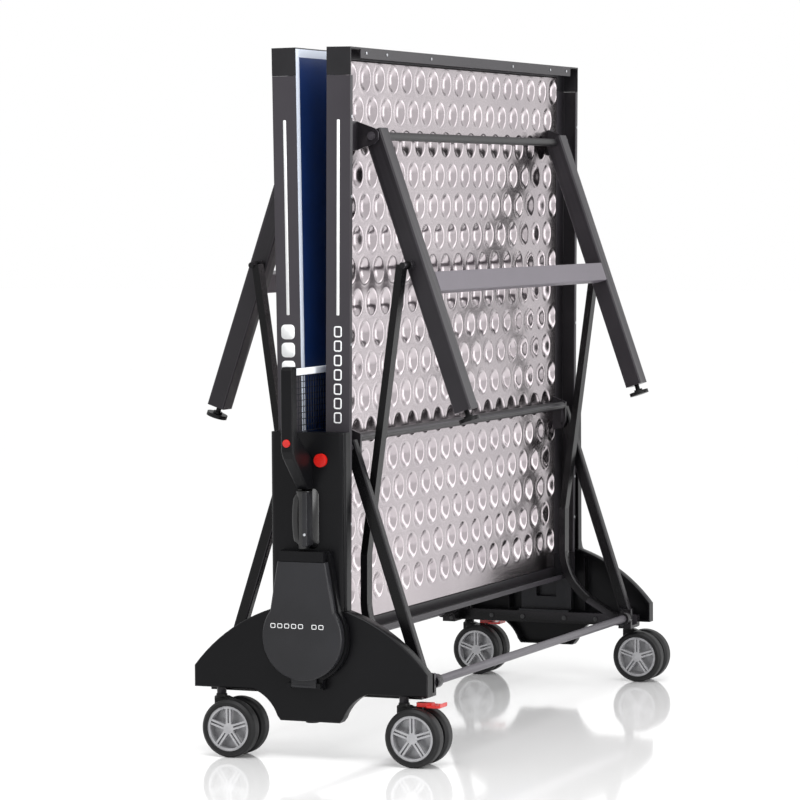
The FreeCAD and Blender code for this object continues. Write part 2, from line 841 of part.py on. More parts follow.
def frame_bolts():
    """Round bolt heads on the inner faces of the end frames."""
    heads = []
    for side in (-1, 1):
        for height in (D.link_foot_z + 14, D.link_foot_z - 20):
            heads.append(rod("y", 5, -(D.plate_face - D.plate_thickness),
                             -(D.plate_face - D.plate_thickness - 2),
                             D.link_foot_x * side - 14 * side, height))
        for place_x in BEAM_BOLTS:
            heads.append(rod("y", 6, -D.beam_face, -(D.beam_face - 4), size(place_x) * side,
                             D.beam_bottom + D.beam_height / 2))
    node("frame_bolts", both_ends(group(heads)))


def post_channels():
    """Upright guide with two grooves for the slider shoes, standing on the beam."""
    back = D.channel_face + D.channel_depth
    body = box(-D.channel_half, D.channel_half, -back, -D.channel_face,
               D.beam_bottom + D.beam_height, D.post_top - D.cover_wall - 1)
    slots = []
    for side in (-1, 1):
        x = D.slider_x * side
        half = D.shoe_width / 2 + D.slot_play
        slots.append(box(x - half, x + half, -back + 2, -D.channel_face + 1,
                         D.slider_z - D.shoe_height / 2 - D.slot_play, D.post_top + 1))
    middle = D.slider_x - D.shoe_width / 2 - D.slot_play - 3
    slots.append(box(-middle, middle, -back + 2, -D.channel_face + 1,
                     D.beam_bottom + D.beam_height + 40, D.post_top + 1))
    foot = box(-D.channel_half, D.channel_half, -D.beam_face - D.beam_depth, -D.beam_face,
               D.beam_bottom + D.beam_height, D.beam_bottom + D.beam_height + 6)
    node("post_channels", both_ends(fuse([cut(body, slots), foot])))


def cover_outline(inset):
    """Front outline of the base cover, moved in all round by inset."""
    wide = D.cover_half_width - inset
    low = D.cover_bottom + inset
    tip = D.cover_tip - inset * 0.4
    top = D.cover_top - inset
    post = D.post_half_width + 3 - inset * 0.5
    keel_top = D.keel_top_half - inset * 0.6
    keel = D.keel_half - inset
    bottom = D.keel_bottom + inset
    return [(-wide, low), (-keel_top, low, size(-100)), (-keel, bottom + 10), (-keel + 8, bottom),
            (keel - 8, bottom), (keel, bottom + 10, size(-100)), (keel_top, low), (wide, low),
            (wide, tip, size(420)), (post, top), (-post, top, size(420)), (-wide, tip)]


def base_covers():
    """Moulded cover over each end of the carriage, open towards the table."""
    depth = D.cover_front - D.cover_back
    shell = prism("XZ_Plane", cover_outline(size(0)), D.cover_back, depth)
    rounded(shell, 2.5, front_edges(D.cover_front.value), "Chamfer")
    inner = prism("XZ_Plane", cover_outline(D.cover_wall), D.cover_back - 1,
                  depth + 1 - D.cover_wall)
    foot = rod("z", D.keel_foot_radius, D.keel_bottom - 3, D.keel_bottom + 1, 0,
               -D.cover_back - 14)
    holes = [rod("z", D.socket_radius + D.joint_gap / 2, D.cover_bottom - 20,
                 D.cover_bottom + 10, D.caster_x * side, -D.caster_y) for side in (-1, 1)]
    passage = D.channel_half + D.slot_play
    holes.append(box(-passage, passage, -D.channel_face - D.channel_depth - D.slot_play,
                     -D.cover_back + 1, D.cover_top - D.cover_wall - 1, D.cover_top + 1))
    ribs = []
    for side in (-1, 1):
        middle = D.rib_x * side
        ribs.append(box(middle - 1.5, middle + 1.5, -D.cover_front + 1, -D.cover_back - 1,
                        D.cover_bottom + 24, D.cover_top - 24))
    node("base_covers", both_ends(fuse([cut(shell, [inner] + holes), foot] + ribs)))


def front_edges(distance):
    """A test for the edges that lie on the face farthest from the table."""
    def test(edge):
        return all(abs(v.Point.y + distance) < 1e-3 for v in edge.Vertexes)
    return test


def post_covers():
    """Tall cover over each post, open towards the table."""
    bottom = D.cover_top + D.joint_gap
    depth = D.post_front - D.cover_back
    half = D.post_half_width
    shell = prism("XZ_Plane", rectangle(-half, half, bottom, D.post_top), D.cover_back, depth)
    rounded(shell, D.post_corner, lambda e: runs_along("z")(e) and front_edges(
        D.post_front.value)(e))
    inner = box(-half + D.cover_wall, half - D.cover_wall, -D.post_front + D.cover_wall,
                -D.cover_back + 1, bottom - 1, D.post_top - D.cover_wall)
    holes = []
    for side in (-1, 1):
        holes.append(rod("y", D.release_radius + 0.5, -D.post_front - 1,
                         -D.post_front + D.cover_wall + 1, D.release_x * side, D.release_z))
    node("post_covers", both_ends(cut(shell, [inner] + holes)))


def release_buttons():
    """Round red release buttons on the posts, one file each."""
    for end_name, end in (("near", 1), ("far", -1)):
        for side_name, side in (("left", -1), ("right", 1)):
            cap = rod("y", D.release_radius, -D.post_front - D.release_stand,
                      -D.post_front + D.cover_wall + 2, D.release_x * side, D.release_z)
            rim = rod("y", D.release_radius + 2, -D.post_front + D.cover_wall + 0.3,
                      -D.post_front + D.cover_wall + 3.3, D.release_x * side, D.release_z)
            button = fuse([cap, rim])
            node("release_%s_%s" % (end_name, side_name),
                 button if end > 0 else mirror(button, "y"))


CLAMP_RIBS = 10


def net_posts():
    """Curved arms that stand outside the posts and hold the net."""
    seat = D.post_front + D.joint_gap
    inner = D.net_post_inner
    outer = D.net_post_front
    outline = [(-seat, D.net_post_seat), (-seat, D.net_post_root), (-inner + 22, 742),
               (-inner, 766), (-inner, D.net_post_top), (-outer + 6, D.net_post_top),
               (-outer, D.net_post_top - 8), (-outer, 724), (-outer + 9, 708),
               (-seat - 26, D.net_post_seat)]
    body = prism("YZ_Plane", outline, 0, D.net_post_half * 2, True)
    rounded(body, 5, lambda e: abs(abs(e.Vertexes[0].Point.x) - D.net_post_half.value) < 1e-3
            and abs(e.Vertexes[0].Point.x - e.Vertexes[-1].Point.x) < 1e-3
            and abs(e.Vertexes[0].Point.y + seat.value) > 1.0
            and abs(e.Vertexes[-1].Point.y + seat.value) > 1.0)
    pocket = rod("y", D.net_button_radius + 0.4, -outer - 1, -outer + 9, 0, D.net_button_z)
    net_half = D.net_thickness / 2 + D.joint_gap
    tape_half = D.tape_thickness / 2 + D.joint_gap
    slit = box(-net_half, net_half, -inner - 6, -inner + 3, D.net_bottom - D.joint_gap,
               D.net_post_top + 1)
    tape_slit = box(-tape_half, tape_half, -inner - 6, -inner + 3,
                    D.net_top - D.tape_height - D.joint_gap, D.net_post_top + 1)
    ribs = []
    for step in range(CLAMP_RIBS):
        z = D.net_bottom + 16 + 12 * step
        ribs.append(box(-D.net_post_half + 5, D.net_post_half - 5, -inner - 1, -inner + 2.5,
                        z, z + 4))
    arm = cut(fuse([body] + ribs), [pocket, slit, tape_slit])
    node("net_posts", both_ends(arm))


def net_buttons():
    """Round red push button on each net post."""
    front = D.net_post_front
    button = rod("y", D.net_button_radius, -front - 2.5, -front + 5, 0, D.net_button_z)
    node("net_button_near", button)
    node("net_button_far", mirror(button, "y"))


def net_and_tape():
    """Net between the two net posts, with a tape along its top."""
    reach = D.net_post_inner + 4
    half = D.net_thickness / 2
    node("net", box(-half, half, -reach, reach, D.net_bottom, D.net_top - D.tape_height))
    node("net_tape", box(-D.tape_thickness / 2, D.tape_thickness / 2, -reach, reach,
                         D.net_top - D.tape_height, D.net_top))


def holder_outline(inset, top):
    """Round holder with a tapered neck, moved in all round by inset."""
    radius = D.holder_radius - inset
    neck = D.neck_half - inset
    share = (top - D.neck_z) / (D.holder_top - D.neck_z)
    top_half = neck - (D.neck_half - D.neck_top_half) * share
    level = D.neck_z
    return [(-neck, level, radius, True), (neck, level), (top_half, top), (-top_half, top)]


def ball_holders():
    """Back shell of the bat and ball holder on each post, with its hinge block."""
    start = D.post_front + D.joint_gap
    depth = D.lid_face - D.joint_gap - start
    outer = prism("XZ_Plane", holder_outline(-D.shell_margin, D.holder_top), start, depth)
    inner = prism("XZ_Plane", holder_outline(D.holder_wall, D.holder_top - D.holder_wall),
                  start + D.holder_wall, depth)
    block = box(-44, 44, -D.lid_face + 0.5, -start, D.hinge_z - 10, D.hinge_z + 18)
    ears = [box(size(side * 37) - 5, size(side * 37) + 5, -D.lid_face - 9, -D.lid_face + 1,
                D.hinge_z - 6, D.hinge_z + 6) for side in (-1, 1)]
    rim = box(-D.neck_top_half, D.neck_top_half, -D.holder_front + 1, -start,
              D.lid_top + 0.6, D.holder_top)
    space = box(-D.neck_top_half + 4, D.neck_top_half - 4, -D.holder_front + 4,
                -start - D.holder_wall, D.lid_top - 4, D.holder_top - 3)
    mouth = cut(rim, [space])
    node("ball_holders", both_ends(fuse([cut(outer, [inner]), block] + ears + [mouth])))


def holder_lids():
    """Hinged front lid of each holder."""
    depth = D.holder_front - D.lid_face
    outer = prism("XZ_Plane", holder_outline(size(0), D.lid_top), D.lid_face, depth)
    rounded(outer, 2.6, front_edges(D.holder_front.value), "Chamfer")
    inner = prism("XZ_Plane", holder_outline(D.holder_wall, D.lid_top - D.holder_wall),
                  D.lid_face - 1, depth + 1 - D.holder_wall)
    barrel = rod("x", 5, -31, 31, -D.lid_face - 6, D.hinge_z)
    tongue = box(-31, 31, -D.lid_face - 10, -D.lid_face - 3, D.hinge_z, D.hinge_z + 22)
    lid = fuse([cut(outer, [inner]), barrel, tongue])
    node("holder_lid_near", lid)
    node("holder_lid_far", mirror(lid, "y"))


def post_grips():
    """Upright grips between the holder and the net post, flared at the top."""
    y = D.post_front + D.grip_radius + 5
    shaft = rod("z", D.grip_radius, D.grip_bottom, D.grip_top - 20, 0, -y)
    flare = add("Part::Cone", "flare")
    bind(flare, "Radius1", D.grip_radius)
    bind(flare, "Radius2", D.grip_radius + 4)
    bind(flare, "Height", 22)
    bind(flare, "Placement.Base.y", -y)
    bind(flare, "Placement.Base.z", D.grip_top - 21)
    mounts = [box(-9, 9, -y, -D.post_front - D.joint_gap, z, z + 20)
              for z in (D.grip_bottom + 6, D.grip_top - 40)]
    node("post_grips", both_ends(fuse([shaft, flare] + mounts)))


# ---------------------------------------------------------------- casters

def tyre_ring():
    """One tyre, lying with its axis along Y and its middle at the origin."""
    half = D.tyre_width / 2
    body = add("PartDesign::Body", "tyre")
    sketch = sketch_in(body, "YZ_Plane", 0)
    outer = D.wheel_radius
    inner = D.tyre_inner
    draw(sketch, [(-half, inner), (half, inner), (half, outer - 7), (half - 5, outer - 1),
                  (half - 9, outer), (-half + 9, outer), (-half + 5, outer - 1),
                  (-half, outer - 7)])
    turn = body.newObject("PartDesign::Revolution", "round")
    turn.Profile = sketch
    turn.ReferenceAxis = (sketch, ["H_Axis"])
    turn.Angle = 360
    doc.recompute()
    groove = sketch_in(body, "YZ_Plane", 0)
    draw(groove, [(half - 2, outer - 14), (half + 1, outer - 14), (half + 1, outer - 11),
                  (half - 2, outer - 11)])
    ring = body.newObject("PartDesign::Groove", "ring_groove")
    ring.Profile = groove
    ring.ReferenceAxis = (groove, ["H_Axis"])
    ring.Angle = 360
    doc.recompute()
    return body


SPOKES = 5


def rim_wheel():
    """One rim with a hub and five twin-ridged spokes, its axis along Y."""
    half = D.tyre_width / 2
    inner = D.tyre_inner
    ring = cut(rod("y", inner - 0.05, -half + 3, half - 3, 0, 0),
               [rod("y", inner - 6, -half - 1, half + 1, 0, 0)])
    hub = rod("y", D.hub_radius, -half + 2, half - 4, 0, 0)
    web = cut(rod("y", inner - 5, -half + 4, -half + 7, 0, 0),
              [rod("y", D.hub_radius - 2, -half - 1, half + 1, 0, 0)])
    parts = [ring, hub, web]
    for turn in range(SPOKES):
        for lane in (-1, 1):
            spoke = box(size(lane) * D.spoke_spread - D.spoke_width / 2,
                        size(lane) * D.spoke_spread + D.spoke_width / 2,
                        half - 12, half - 4, D.hub_radius - 4, inner - 4)
            parts.append(turned(spoke, 360.0 / SPOKES * turn))
    return fuse(parts)


def turned(item, angle):
    """A copy of an item turned about the Y axis through the origin."""
    holder = group([item])
    holder.Placement = FreeCAD.Placement(V(), FreeCAD.Rotation(V(0, 1, 0), angle))
    return holder


CASTERS = (("near_left", -1, -1), ("near_right", 1, -1), ("far_left", -1, 1),
           ("far_right", 1, 1))
BRAKED = ("near_right", "far_left")


def at(item, x, y, z):
    """A copy of an item moved to a place bound to the sheet."""
    holder = group([item])
    for axis, value in (("x", x), ("y", y), ("z", z)):
        bind(holder, "Placement.Base." + axis, value)
    return holder


def caster_fork(with_ear):
    """Housing between the two wheels, with the swivel stem and an ear for a pedal."""
    t = D.fork_thickness / 2
    top = D.caster_top
    plate = prism("XZ_Plane",
                  [(-15, top - 27), (-15, top), (15, top), (34, top - 7),
                   (D.caster_trail + 14, top - 35), (D.caster_trail + 12, D.wheel_radius - 6),
                   (D.caster_trail, D.wheel_radius - 13),
                   (D.caster_trail - 13, D.wheel_radius - 4), (4, top - 43)],
                  0, t * 2, True)
    rounded(plate, 3, runs_along("y"))
    collar = rod("z", 15, D.wheel_radius * 2 - 1, top, 0, 0)
    stem = rod("z", D.shaft_radius, top - 2, D.beam_bottom + 26, 0, 0)
    washer = rod("z", D.stem_radius, top - 1, D.beam_bottom - 6 - D.joint_gap, 0, 0)
    bore = rod("y", D.axle_radius + 0.3, -t - 9, t + 9, D.caster_trail, D.wheel_radius)
    parts = [plate, collar, stem, washer]
    holes = [bore]
    if with_ear:
        parts.append(box(D.pedal_x - 7, D.pedal_x + 7, -6, 6, top - 34, D.pedal_z + 5))
        holes.append(rod("y", 2.8, -12, 12, D.pedal_x, D.pedal_z))
    return cut(fuse(parts), holes)


def brake_pedal():
    """Foot pedal that hinges on the fork's ear, axis of the caster at the origin."""
    low = D.pedal_z - 4.5
    cheeks = box(D.pedal_x - 5, D.pedal_reach - 25, -11, 11, low, D.pedal_z + 5)
    slot = box(D.pedal_x - 10, D.pedal_x + 12, -6.3, 6.3, low - 5, D.pedal_z + 9)
    pin = rod("y", 2.5, -11, 11, D.pedal_x, D.pedal_z)
    tread = box(D.pedal_reach - 34, D.pedal_reach, -D.pedal_width / 2, D.pedal_width / 2,
                low, D.pedal_z + 1)
    lip = box(D.pedal_reach - 3, D.pedal_reach + 1, -D.pedal_width / 2, D.pedal_width / 2,
              low + 2, D.pedal_z + 5)
    return fuse([cut(cheeks, [slot]), pin, tread, lip])


def casters():
    """Four twin-wheel casters; two of them carry brake pedals."""
    offset = (D.tyre_width + D.wheel_gap) / 2
    tyre = tyre_ring()
    rim = rim_wheel()
    plain_fork = caster_fork(False)
    eared_fork = caster_fork(True)
    pedal = brake_pedal()
    outer_tyre = at(tyre, 0, -offset, 0)
    inner_tyre = mirror(outer_tyre, "y")
    flipped_rim = mirror(rim, "y")
    reach = offset - D.tyre_width / 2 + 2
    axle = rod("y", D.axle_radius, -reach, reach, 0, 0)
    wheels = group([at(flipped_rim, 0, -offset, 0), at(rim, 0, offset, 0), axle])
    tyres = group([mirror(inner_tyre, "y"), inner_tyre])
    for name, side, end in CASTERS:
        x = D.caster_x * side
        y = D.caster_y * end
        fork = eared_fork if name in BRAKED else plain_fork
        node("caster_fork_" + name, at(fork, x, y, 0))
        node("tyres_" + name, at(tyres, x + D.caster_trail, y, D.wheel_radius))
        node("rims_" + name, at(wheels, x + D.caster_trail, y, D.wheel_radius))
        if name in BRAKED:
            node("brake_pedal_" + name, at(pedal, x, y, 0))


SUB_PARTS = (play_board, cup_sheet, rails, corner_caps, rail_screws, half_brackets,
             slider_shoes, swing_arms, legs, leg_bars, levelling_feet, links,
             end_frames, long_tubes, frame_bolts, post_channels, base_covers, post_covers,
             release_buttons, net_posts, net_buttons, net_and_tape, ball_holders,
             holder_lids, post_grips, casters)


def build():
    for make in SUB_PARTS:
        make()
    doc.recompute()
    faults = [o.Name for o in doc.Objects if "Invalid" in o.State or "Error" in o.State]
    if faults:
        raise RuntimeError("objects with errors: " + ", ".join(faults))
    os.makedirs("parts", exist_ok=True)
    for item in NODES:
        shape = item.Shape
        if shape.isNull() or not shape.isValid() or not shape.Solids:
            raise RuntimeError("bad shape: " + item.Label)
        shape.exportStep("parts/" + item.Label + ".step")
        print("%-26s %3d solids  %9.1f cm3" % (item.Label, len(shape.Solids), shape.Volume / 1000))


build()
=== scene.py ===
"""Looks of a folding outdoor ping pong table, stored upright on its wheeled carriage."""

import logging
import math
from dataclasses import dataclass
from enum import Enum
from typing import Callable, Iterable, Optional, Sequence

import bmesh
import bpy
import numpy as np
from mathutils import Matrix, Vector

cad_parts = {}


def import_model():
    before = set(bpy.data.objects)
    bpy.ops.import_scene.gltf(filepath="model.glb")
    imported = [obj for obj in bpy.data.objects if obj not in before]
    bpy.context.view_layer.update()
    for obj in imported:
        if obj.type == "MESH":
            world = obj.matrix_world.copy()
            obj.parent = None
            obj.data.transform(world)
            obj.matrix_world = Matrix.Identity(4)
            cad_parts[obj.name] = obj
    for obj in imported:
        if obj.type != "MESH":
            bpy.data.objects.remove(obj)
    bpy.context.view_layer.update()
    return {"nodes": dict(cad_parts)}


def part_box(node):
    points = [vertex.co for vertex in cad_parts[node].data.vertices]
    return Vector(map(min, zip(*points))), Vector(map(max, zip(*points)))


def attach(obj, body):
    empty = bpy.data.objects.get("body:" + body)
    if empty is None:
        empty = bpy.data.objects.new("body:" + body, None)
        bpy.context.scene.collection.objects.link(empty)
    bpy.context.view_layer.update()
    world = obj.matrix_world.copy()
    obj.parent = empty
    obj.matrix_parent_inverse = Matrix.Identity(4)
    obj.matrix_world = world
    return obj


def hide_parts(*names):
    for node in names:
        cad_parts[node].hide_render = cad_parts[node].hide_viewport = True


LOG = logging.getLogger("table")
MM = 0.001

Point = tuple[float, float, float]


# --------------------------------------------------------------------- colour and nodes

def linear(code: str) -> tuple[float, float, float, float]:
    """Turns an sRGB hex code into a linear colour.

    Args:
        code: Six hex digits, with or without a leading hash.

    Returns:
        Red, green, blue and alpha for a shader socket.
    """
    digits = code.lstrip("#")
    parts = [int(digits[i:i + 2], 16) / 255.0 for i in (0, 2, 4)]
    r, g, b = [c / 12.92 if c <= 0.04045 else ((c + 0.055) / 1.055) ** 2.4 for c in parts]
    return (r, g, b, 1.0)


def per_mm(size_mm: float) -> float:
    """Scale of a noise or wave whose features are size_mm across."""
    return 1.0 / (size_mm * MM)


def add_node(tree: bpy.types.NodeTree, kind: str, values: Optional[dict] = None,
             links: Optional[dict] = None, **settings: object) -> bpy.types.Node:
    """Adds a shader node.

    Args:
        tree: The material's node tree.
        kind: The node's bl_idname.
        values: Socket name or number to the value it gets.
        links: Socket name or number to the output socket that feeds it.
        **settings: Properties of the node itself.

    Returns:
        The new node.
    """
    node = tree.nodes.new(kind)
    for name, value in settings.items():
        setattr(node, name, value)
    for name, value in (values or {}).items():
        node.inputs[name].default_value = value
    for name, source in (links or {}).items():
        tree.links.new(source, node.inputs[name])
    return node


class Slot(Enum):
    """Material slots of the record, listed by name; nothing in this script reads them."""

    SHEET = "cup_sheet"
    NET = "net"
    TAPE = "net_tape"
    SCREWS = "rail_screws"
    GRIPS = "post_grips"


# --------------------------------------------------------------------- finishes

@dataclass(frozen=True)
class Finish:
    """A surface with broad colour variation and a fine grain.

    Attributes:
        name: Material name.
        light: Hex colour of the lighter areas.
        dark: Hex colour of the darker areas.
        roughness: Mean roughness.
        spread: How much the roughness varies.
        mottle_mm: Size of the broad colour variation.
        grain_mm: Size of the fine grain.
        grain_depth_mm: Depth of the fine grain.
        metallic: 0 for plastics and paints, 1 for bare metal.
        coat: Strength of a clear coat.
        specular: Strength of the surface reflection, 0.5 for a clean glossy one.
    """

    name: str
    light: str
    dark: str
    roughness: float
    spread: float = 0.08
    mottle_mm: float = 90.0
    grain_mm: float = 0.8
    grain_depth_mm: float = 0.02
    metallic: float = 0.0
    coat: float = 0.0
    specular: float = 0.5

    def material(self) -> bpy.types.Material:
        """Builds the material once and returns it."""
        made = bpy.data.materials.get(self.name)
        if made:
            return made
        made = bpy.data.materials.new(self.name)
        made.use_nodes = True
        tree = made.node_tree
        tree.nodes.clear()
        shader = add_node(tree, "ShaderNodeBsdfPrincipled",
                          {"Metallic": self.metallic, "IOR": 1.5,
                           "Specular IOR Level": self.specular,
                           "Coat Weight": self.coat, "Coat Roughness": 0.18})
        add_node(tree, "ShaderNodeOutputMaterial", links={"Surface": shader.outputs["BSDF"]})
        place = add_node(tree, "ShaderNodeTexCoord").outputs["Object"]
        self.dress(tree, shader, place)
        made.diffuse_color = linear(self.light)
        return made

    def dress(self, tree: bpy.types.NodeTree, shader: bpy.types.Node,
              place: bpy.types.NodeSocket) -> None:
        """Gives the shader its colour, roughness and relief.

        Args:
            tree: The material's node tree.
            shader: The Principled shader.
            place: The coordinate that patterns lie on.
        """
        colour = self.broad_colour(tree, place)
        tree.links.new(colour, shader.inputs["Base Color"])
        grain = self.grain(tree, place)
        self.roughen(tree, shader, grain)
        self.emboss(tree, shader, grain, self.grain_depth_mm)

    def broad_colour(self, tree: bpy.types.NodeTree,
                     place: bpy.types.NodeSocket) -> bpy.types.NodeSocket:
        """Mixes the light and dark tints over broad soft patches."""
        patches = add_node(tree, "ShaderNodeTexNoise",
                           {"Scale": per_mm(self.mottle_mm), "Detail": 4.0, "Roughness": 0.55},
                           {"Vector": place})
        ramp = add_node(tree, "ShaderNodeMapRange",
                        {"From Min": 0.3, "From Max": 0.7}, {"Value": patches.outputs["Fac"]})
        mix = add_node(tree, "ShaderNodeMix", {6: linear(self.dark), 7: linear(self.light)},
                       {"Factor": ramp.outputs["Result"]}, data_type="RGBA")
        return mix.outputs[2]

    def grain(self, tree: bpy.types.NodeTree,
              place: bpy.types.NodeSocket) -> bpy.types.NodeSocket:
        """Fine noise that stands for the grain of the surface."""
        return add_node(tree, "ShaderNodeTexNoise",
                        {"Scale": per_mm(self.grain_mm), "Detail": 2.0, "Roughness": 0.6},
                        {"Vector": place}).outputs["Fac"]

    def roughen(self, tree: bpy.types.NodeTree, shader: bpy.types.Node,
                source: bpy.types.NodeSocket) -> None:
        """Varies the roughness about its mean."""
        spread = add_node(tree, "ShaderNodeMapRange",
                          {"From Min": 0.25, "From Max": 0.75,
                           "To Min": self.roughness - self.spread,
                           "To Max": self.roughness + self.spread}, {"Value": source})
        tree.links.new(spread.outputs["Result"], shader.inputs["Roughness"])

    def emboss(self, tree: bpy.types.NodeTree, shader: bpy.types.Node,
               source: bpy.types.NodeSocket, depth_mm: float) -> None:
        """Adds the relief of a height pattern."""
        bump = add_node(tree, "ShaderNodeBump", {"Strength": 1.0, "Distance": depth_mm * MM},
                        {"Height": source})
        tree.links.new(bump.outputs["Normal"], shader.inputs["Normal"])


@dataclass(frozen=True)
class PowderCoat(Finish):
    """Epoxy powder coat baked on steel: satin, with a soft orange-peel relief."""

    # Paler colour mixed in on convex edges: a painted highlight along the edges.
    edge_highlight: str = "#6d6a70"

    def dress(self, tree: bpy.types.NodeTree, shader: bpy.types.Node,
              place: bpy.types.NodeSocket) -> None:
        """Adds a painted highlight, a lighter colour on convex edges, to the broad colour, and the
        orange peel.
        """
        colour = self.broad_colour(tree, place)
        # Painted highlight: convex edges, found by their pointiness, get up to 45% of the paler
        # edge colour.
        edge = add_node(tree, "ShaderNodeNewGeometry").outputs["Pointiness"]
        edge_highlight_mask = add_node(tree, "ShaderNodeMapRange", {"From Min": 0.52, "From Max": 0.60,
                                                       "To Max": 0.45}, {"Value": edge})
        mix = add_node(tree, "ShaderNodeMix", {7: linear(self.edge_highlight)},
                       {"Factor": edge_highlight_mask.outputs["Result"], 6: colour}, data_type="RGBA")
        tree.links.new(mix.outputs[2], shader.inputs["Base Color"])
        grain = self.grain(tree, place)
        self.roughen(tree, shader, grain)
        self.emboss(tree, shader, grain, self.grain_depth_mm)


@dataclass(frozen=True)
class TwoToneCoat(PowderCoat):
    """A powder coat that turns to a second, darker tone above a height.

    Attributes:
        upper: Hex colour above the height.
        turn_height: Height at which the tone changes, as stored.
    """

    upper: str = "#1b1a1c"
    turn_height: float = 1.3

    def broad_colour(self, tree: bpy.types.NodeTree,
                     place: bpy.types.NodeSocket) -> bpy.types.NodeSocket:
        """Chooses between the lower and the upper tone by height."""
        lower = super().broad_colour(tree, place)
        axes = add_node(tree, "ShaderNodeSeparateXYZ", links={0: place})
        above = add_node(tree, "ShaderNodeMath", {1: self.turn_height}, {0: axes.outputs["Z"]},
                         operation="GREATER_THAN")
        mix = add_node(tree, "ShaderNodeMix", {7: linear(self.upper)},
                       {"Factor": above.outputs[0], 6: lower}, data_type="RGBA")
        return mix.outputs[2]


@dataclass(frozen=True)
class SparkErodedPolymer(Finish):
    """Moulded plastic from a spark-eroded tool: even cells about half a millimetre wide."""

    def grain(self, tree: bpy.types.NodeTree,
              place: bpy.types.NodeSocket) -> bpy.types.NodeSocket:
        """Cells of the eroded tool, softened at their borders."""
        cells = add_node(tree, "ShaderNodeTexVoronoi",
                         {"Scale": per_mm(self.grain_mm), "Smoothness": 0.6},
                         {"Vector": place}, feature="SMOOTH_F1")
        return cells.outputs["Distance"]


@dataclass(frozen=True)
class RolledSheet(Finish):
    """Coated steel sheet rolled and embossed: bright, with faint rolling lines."""

    line_mm: float = 2.4

    def dress(self, tree: bpy.types.NodeTree, shader: bpy.types.Node,
              place: bpy.types.NodeSocket) -> None:
        """Adds rolling lines along the width to the colour and the roughness."""
        colour = self.broad_colour(tree, place)
        tree.links.new(colour, shader.inputs["Base Color"])
        stretch = add_node(tree, "ShaderNodeMapping", {"Scale": (1.0, 0.04, 1.0)},
                           {"Vector": place})
        lines = add_node(tree, "ShaderNodeTexNoise",
                         {"Scale": per_mm(self.line_mm), "Detail": 3.0},
                         {"Vector": stretch.outputs["Vector"]})
        self.roughen(tree, shader, lines.outputs["Fac"])


@dataclass(frozen=True)
class CourtLacquer(Finish):
    """Sprayed blue playing lacquer with the table's white lines, matt and finely speckled.

    Attributes:
        line: Hex colour of the painted lines.
        side_edge: Distance from the middle of the table to the inner edge of the side line.
        end_edge: Height of the lower edge of the end line, as stored.
    """

    line: str = "#dfe6f2"
    side_edge: float = 0.7405
    end_edge: float = 1.628

    def dress(self, tree: bpy.types.NodeTree, shader: bpy.types.Node,
              place: bpy.types.NodeSocket) -> None:
        """Paints the side, end and centre lines over the blue."""
        colour = self.broad_colour(tree, place)
        axes = add_node(tree, "ShaderNodeSeparateXYZ", links={0: place})
        across = add_node(tree, "ShaderNodeMath", links={0: axes.outputs["Y"]},
                          operation="ABSOLUTE")
        side = add_node(tree, "ShaderNodeMath", {1: self.side_edge},
                        {0: across.outputs[0]}, operation="GREATER_THAN")
        end = add_node(tree, "ShaderNodeMath", {1: self.end_edge},
                       {0: axes.outputs["Z"]}, operation="GREATER_THAN")
        centre = add_node(tree, "ShaderNodeMath", {1: 1.5 * MM},
                          {0: across.outputs[0]}, operation="LESS_THAN")
        either = add_node(tree, "ShaderNodeMath", links={0: side.outputs[0], 1: end.outputs[0]},
                          operation="MAXIMUM")
        lines = add_node(tree, "ShaderNodeMath", links={0: either.outputs[0],
                                                        1: centre.outputs[0]},
                         operation="MAXIMUM")
        mix = add_node(tree, "ShaderNodeMix", {7: linear(self.line)},
                       {"Factor": lines.outputs[0], 6: colour}, data_type="RGBA")
        tree.links.new(mix.outputs[2], shader.inputs["Base Color"])
        grain = self.grain(tree, place)
        self.roughen(tree, shader, grain)
        self.emboss(tree, shader, grain, self.grain_depth_mm)


@dataclass(frozen=True)
class WovenTape(Finish):
    """Polyester webbing: a plain weave whose threads are drawn 1.6 mm apart to show."""

    thread_mm: float = 1.6

    def grain(self, tree: bpy.types.NodeTree,
              place: bpy.types.NodeSocket) -> bpy.types.NodeSocket:
        """Crossing threads along the tape and across it."""
        waves = []
        for direction in ("Y", "Z"):
            wave = add_node(tree, "ShaderNodeTexWave",
                            {"Scale": per_mm(self.thread_mm) / 3.14, "Distortion": 0.4},
                            {"Vector": place}, bands_direction=direction)
            waves.append(wave.outputs["Fac"])
        both = add_node(tree, "ShaderNodeMath", links={0: waves[0], 1: waves[1]},
                        operation="MULTIPLY")
        return both.outputs[0]


# Steel tube and folded rail, anthracite epoxy powder: satin with a faint violet cast in light,
# painted paler on its edges as a painted highlight.
ANTHRACITE_COAT = PowderCoat("anthracite_powder_coat", "#242225", "#1c1a1d", 0.34,
                             mottle_mm=140, grain_mm=1.6, grain_depth_mm=0.02, edge_highlight="#5d5960",
                             specular=0.22)
# Thin tubes and arms in jet powder: nearly black, with a sharper sheen and a paler painted
# highlight along their edges.
JET_COAT = PowderCoat("jet_powder_coat", "#0e0d0f", "#09090a", 0.25, mottle_mm=120,
                      grain_mm=1.6, grain_depth_mm=0.015, edge_highlight="#4a474c", specular=0.18)
# The flat bar catches more light, so its coat reads a tone greyer and faintly purple; the
# pivot tube on the same bar is jet black.
# Its paler edge colour is a painted highlight.
BAR_COAT = TwoToneCoat("grey_bar_powder_coat", "#4b454d", "#413c43", 0.42, mottle_mm=160,
                       grain_mm=1.6, grain_depth_mm=0.02, edge_highlight="#7a757d", specular=0.35)
# Long tubes between the end frames: mid grey powder over welded tube, softly streaked.
# Its paler edge colour is a painted highlight.
GREY_COAT = PowderCoat("grey_powder_coat", "#4a474c", "#3e3b40", 0.38, mottle_mm=160,
                       grain_mm=1.6, grain_depth_mm=0.02, edge_highlight="#7a777e", specular=0.4)
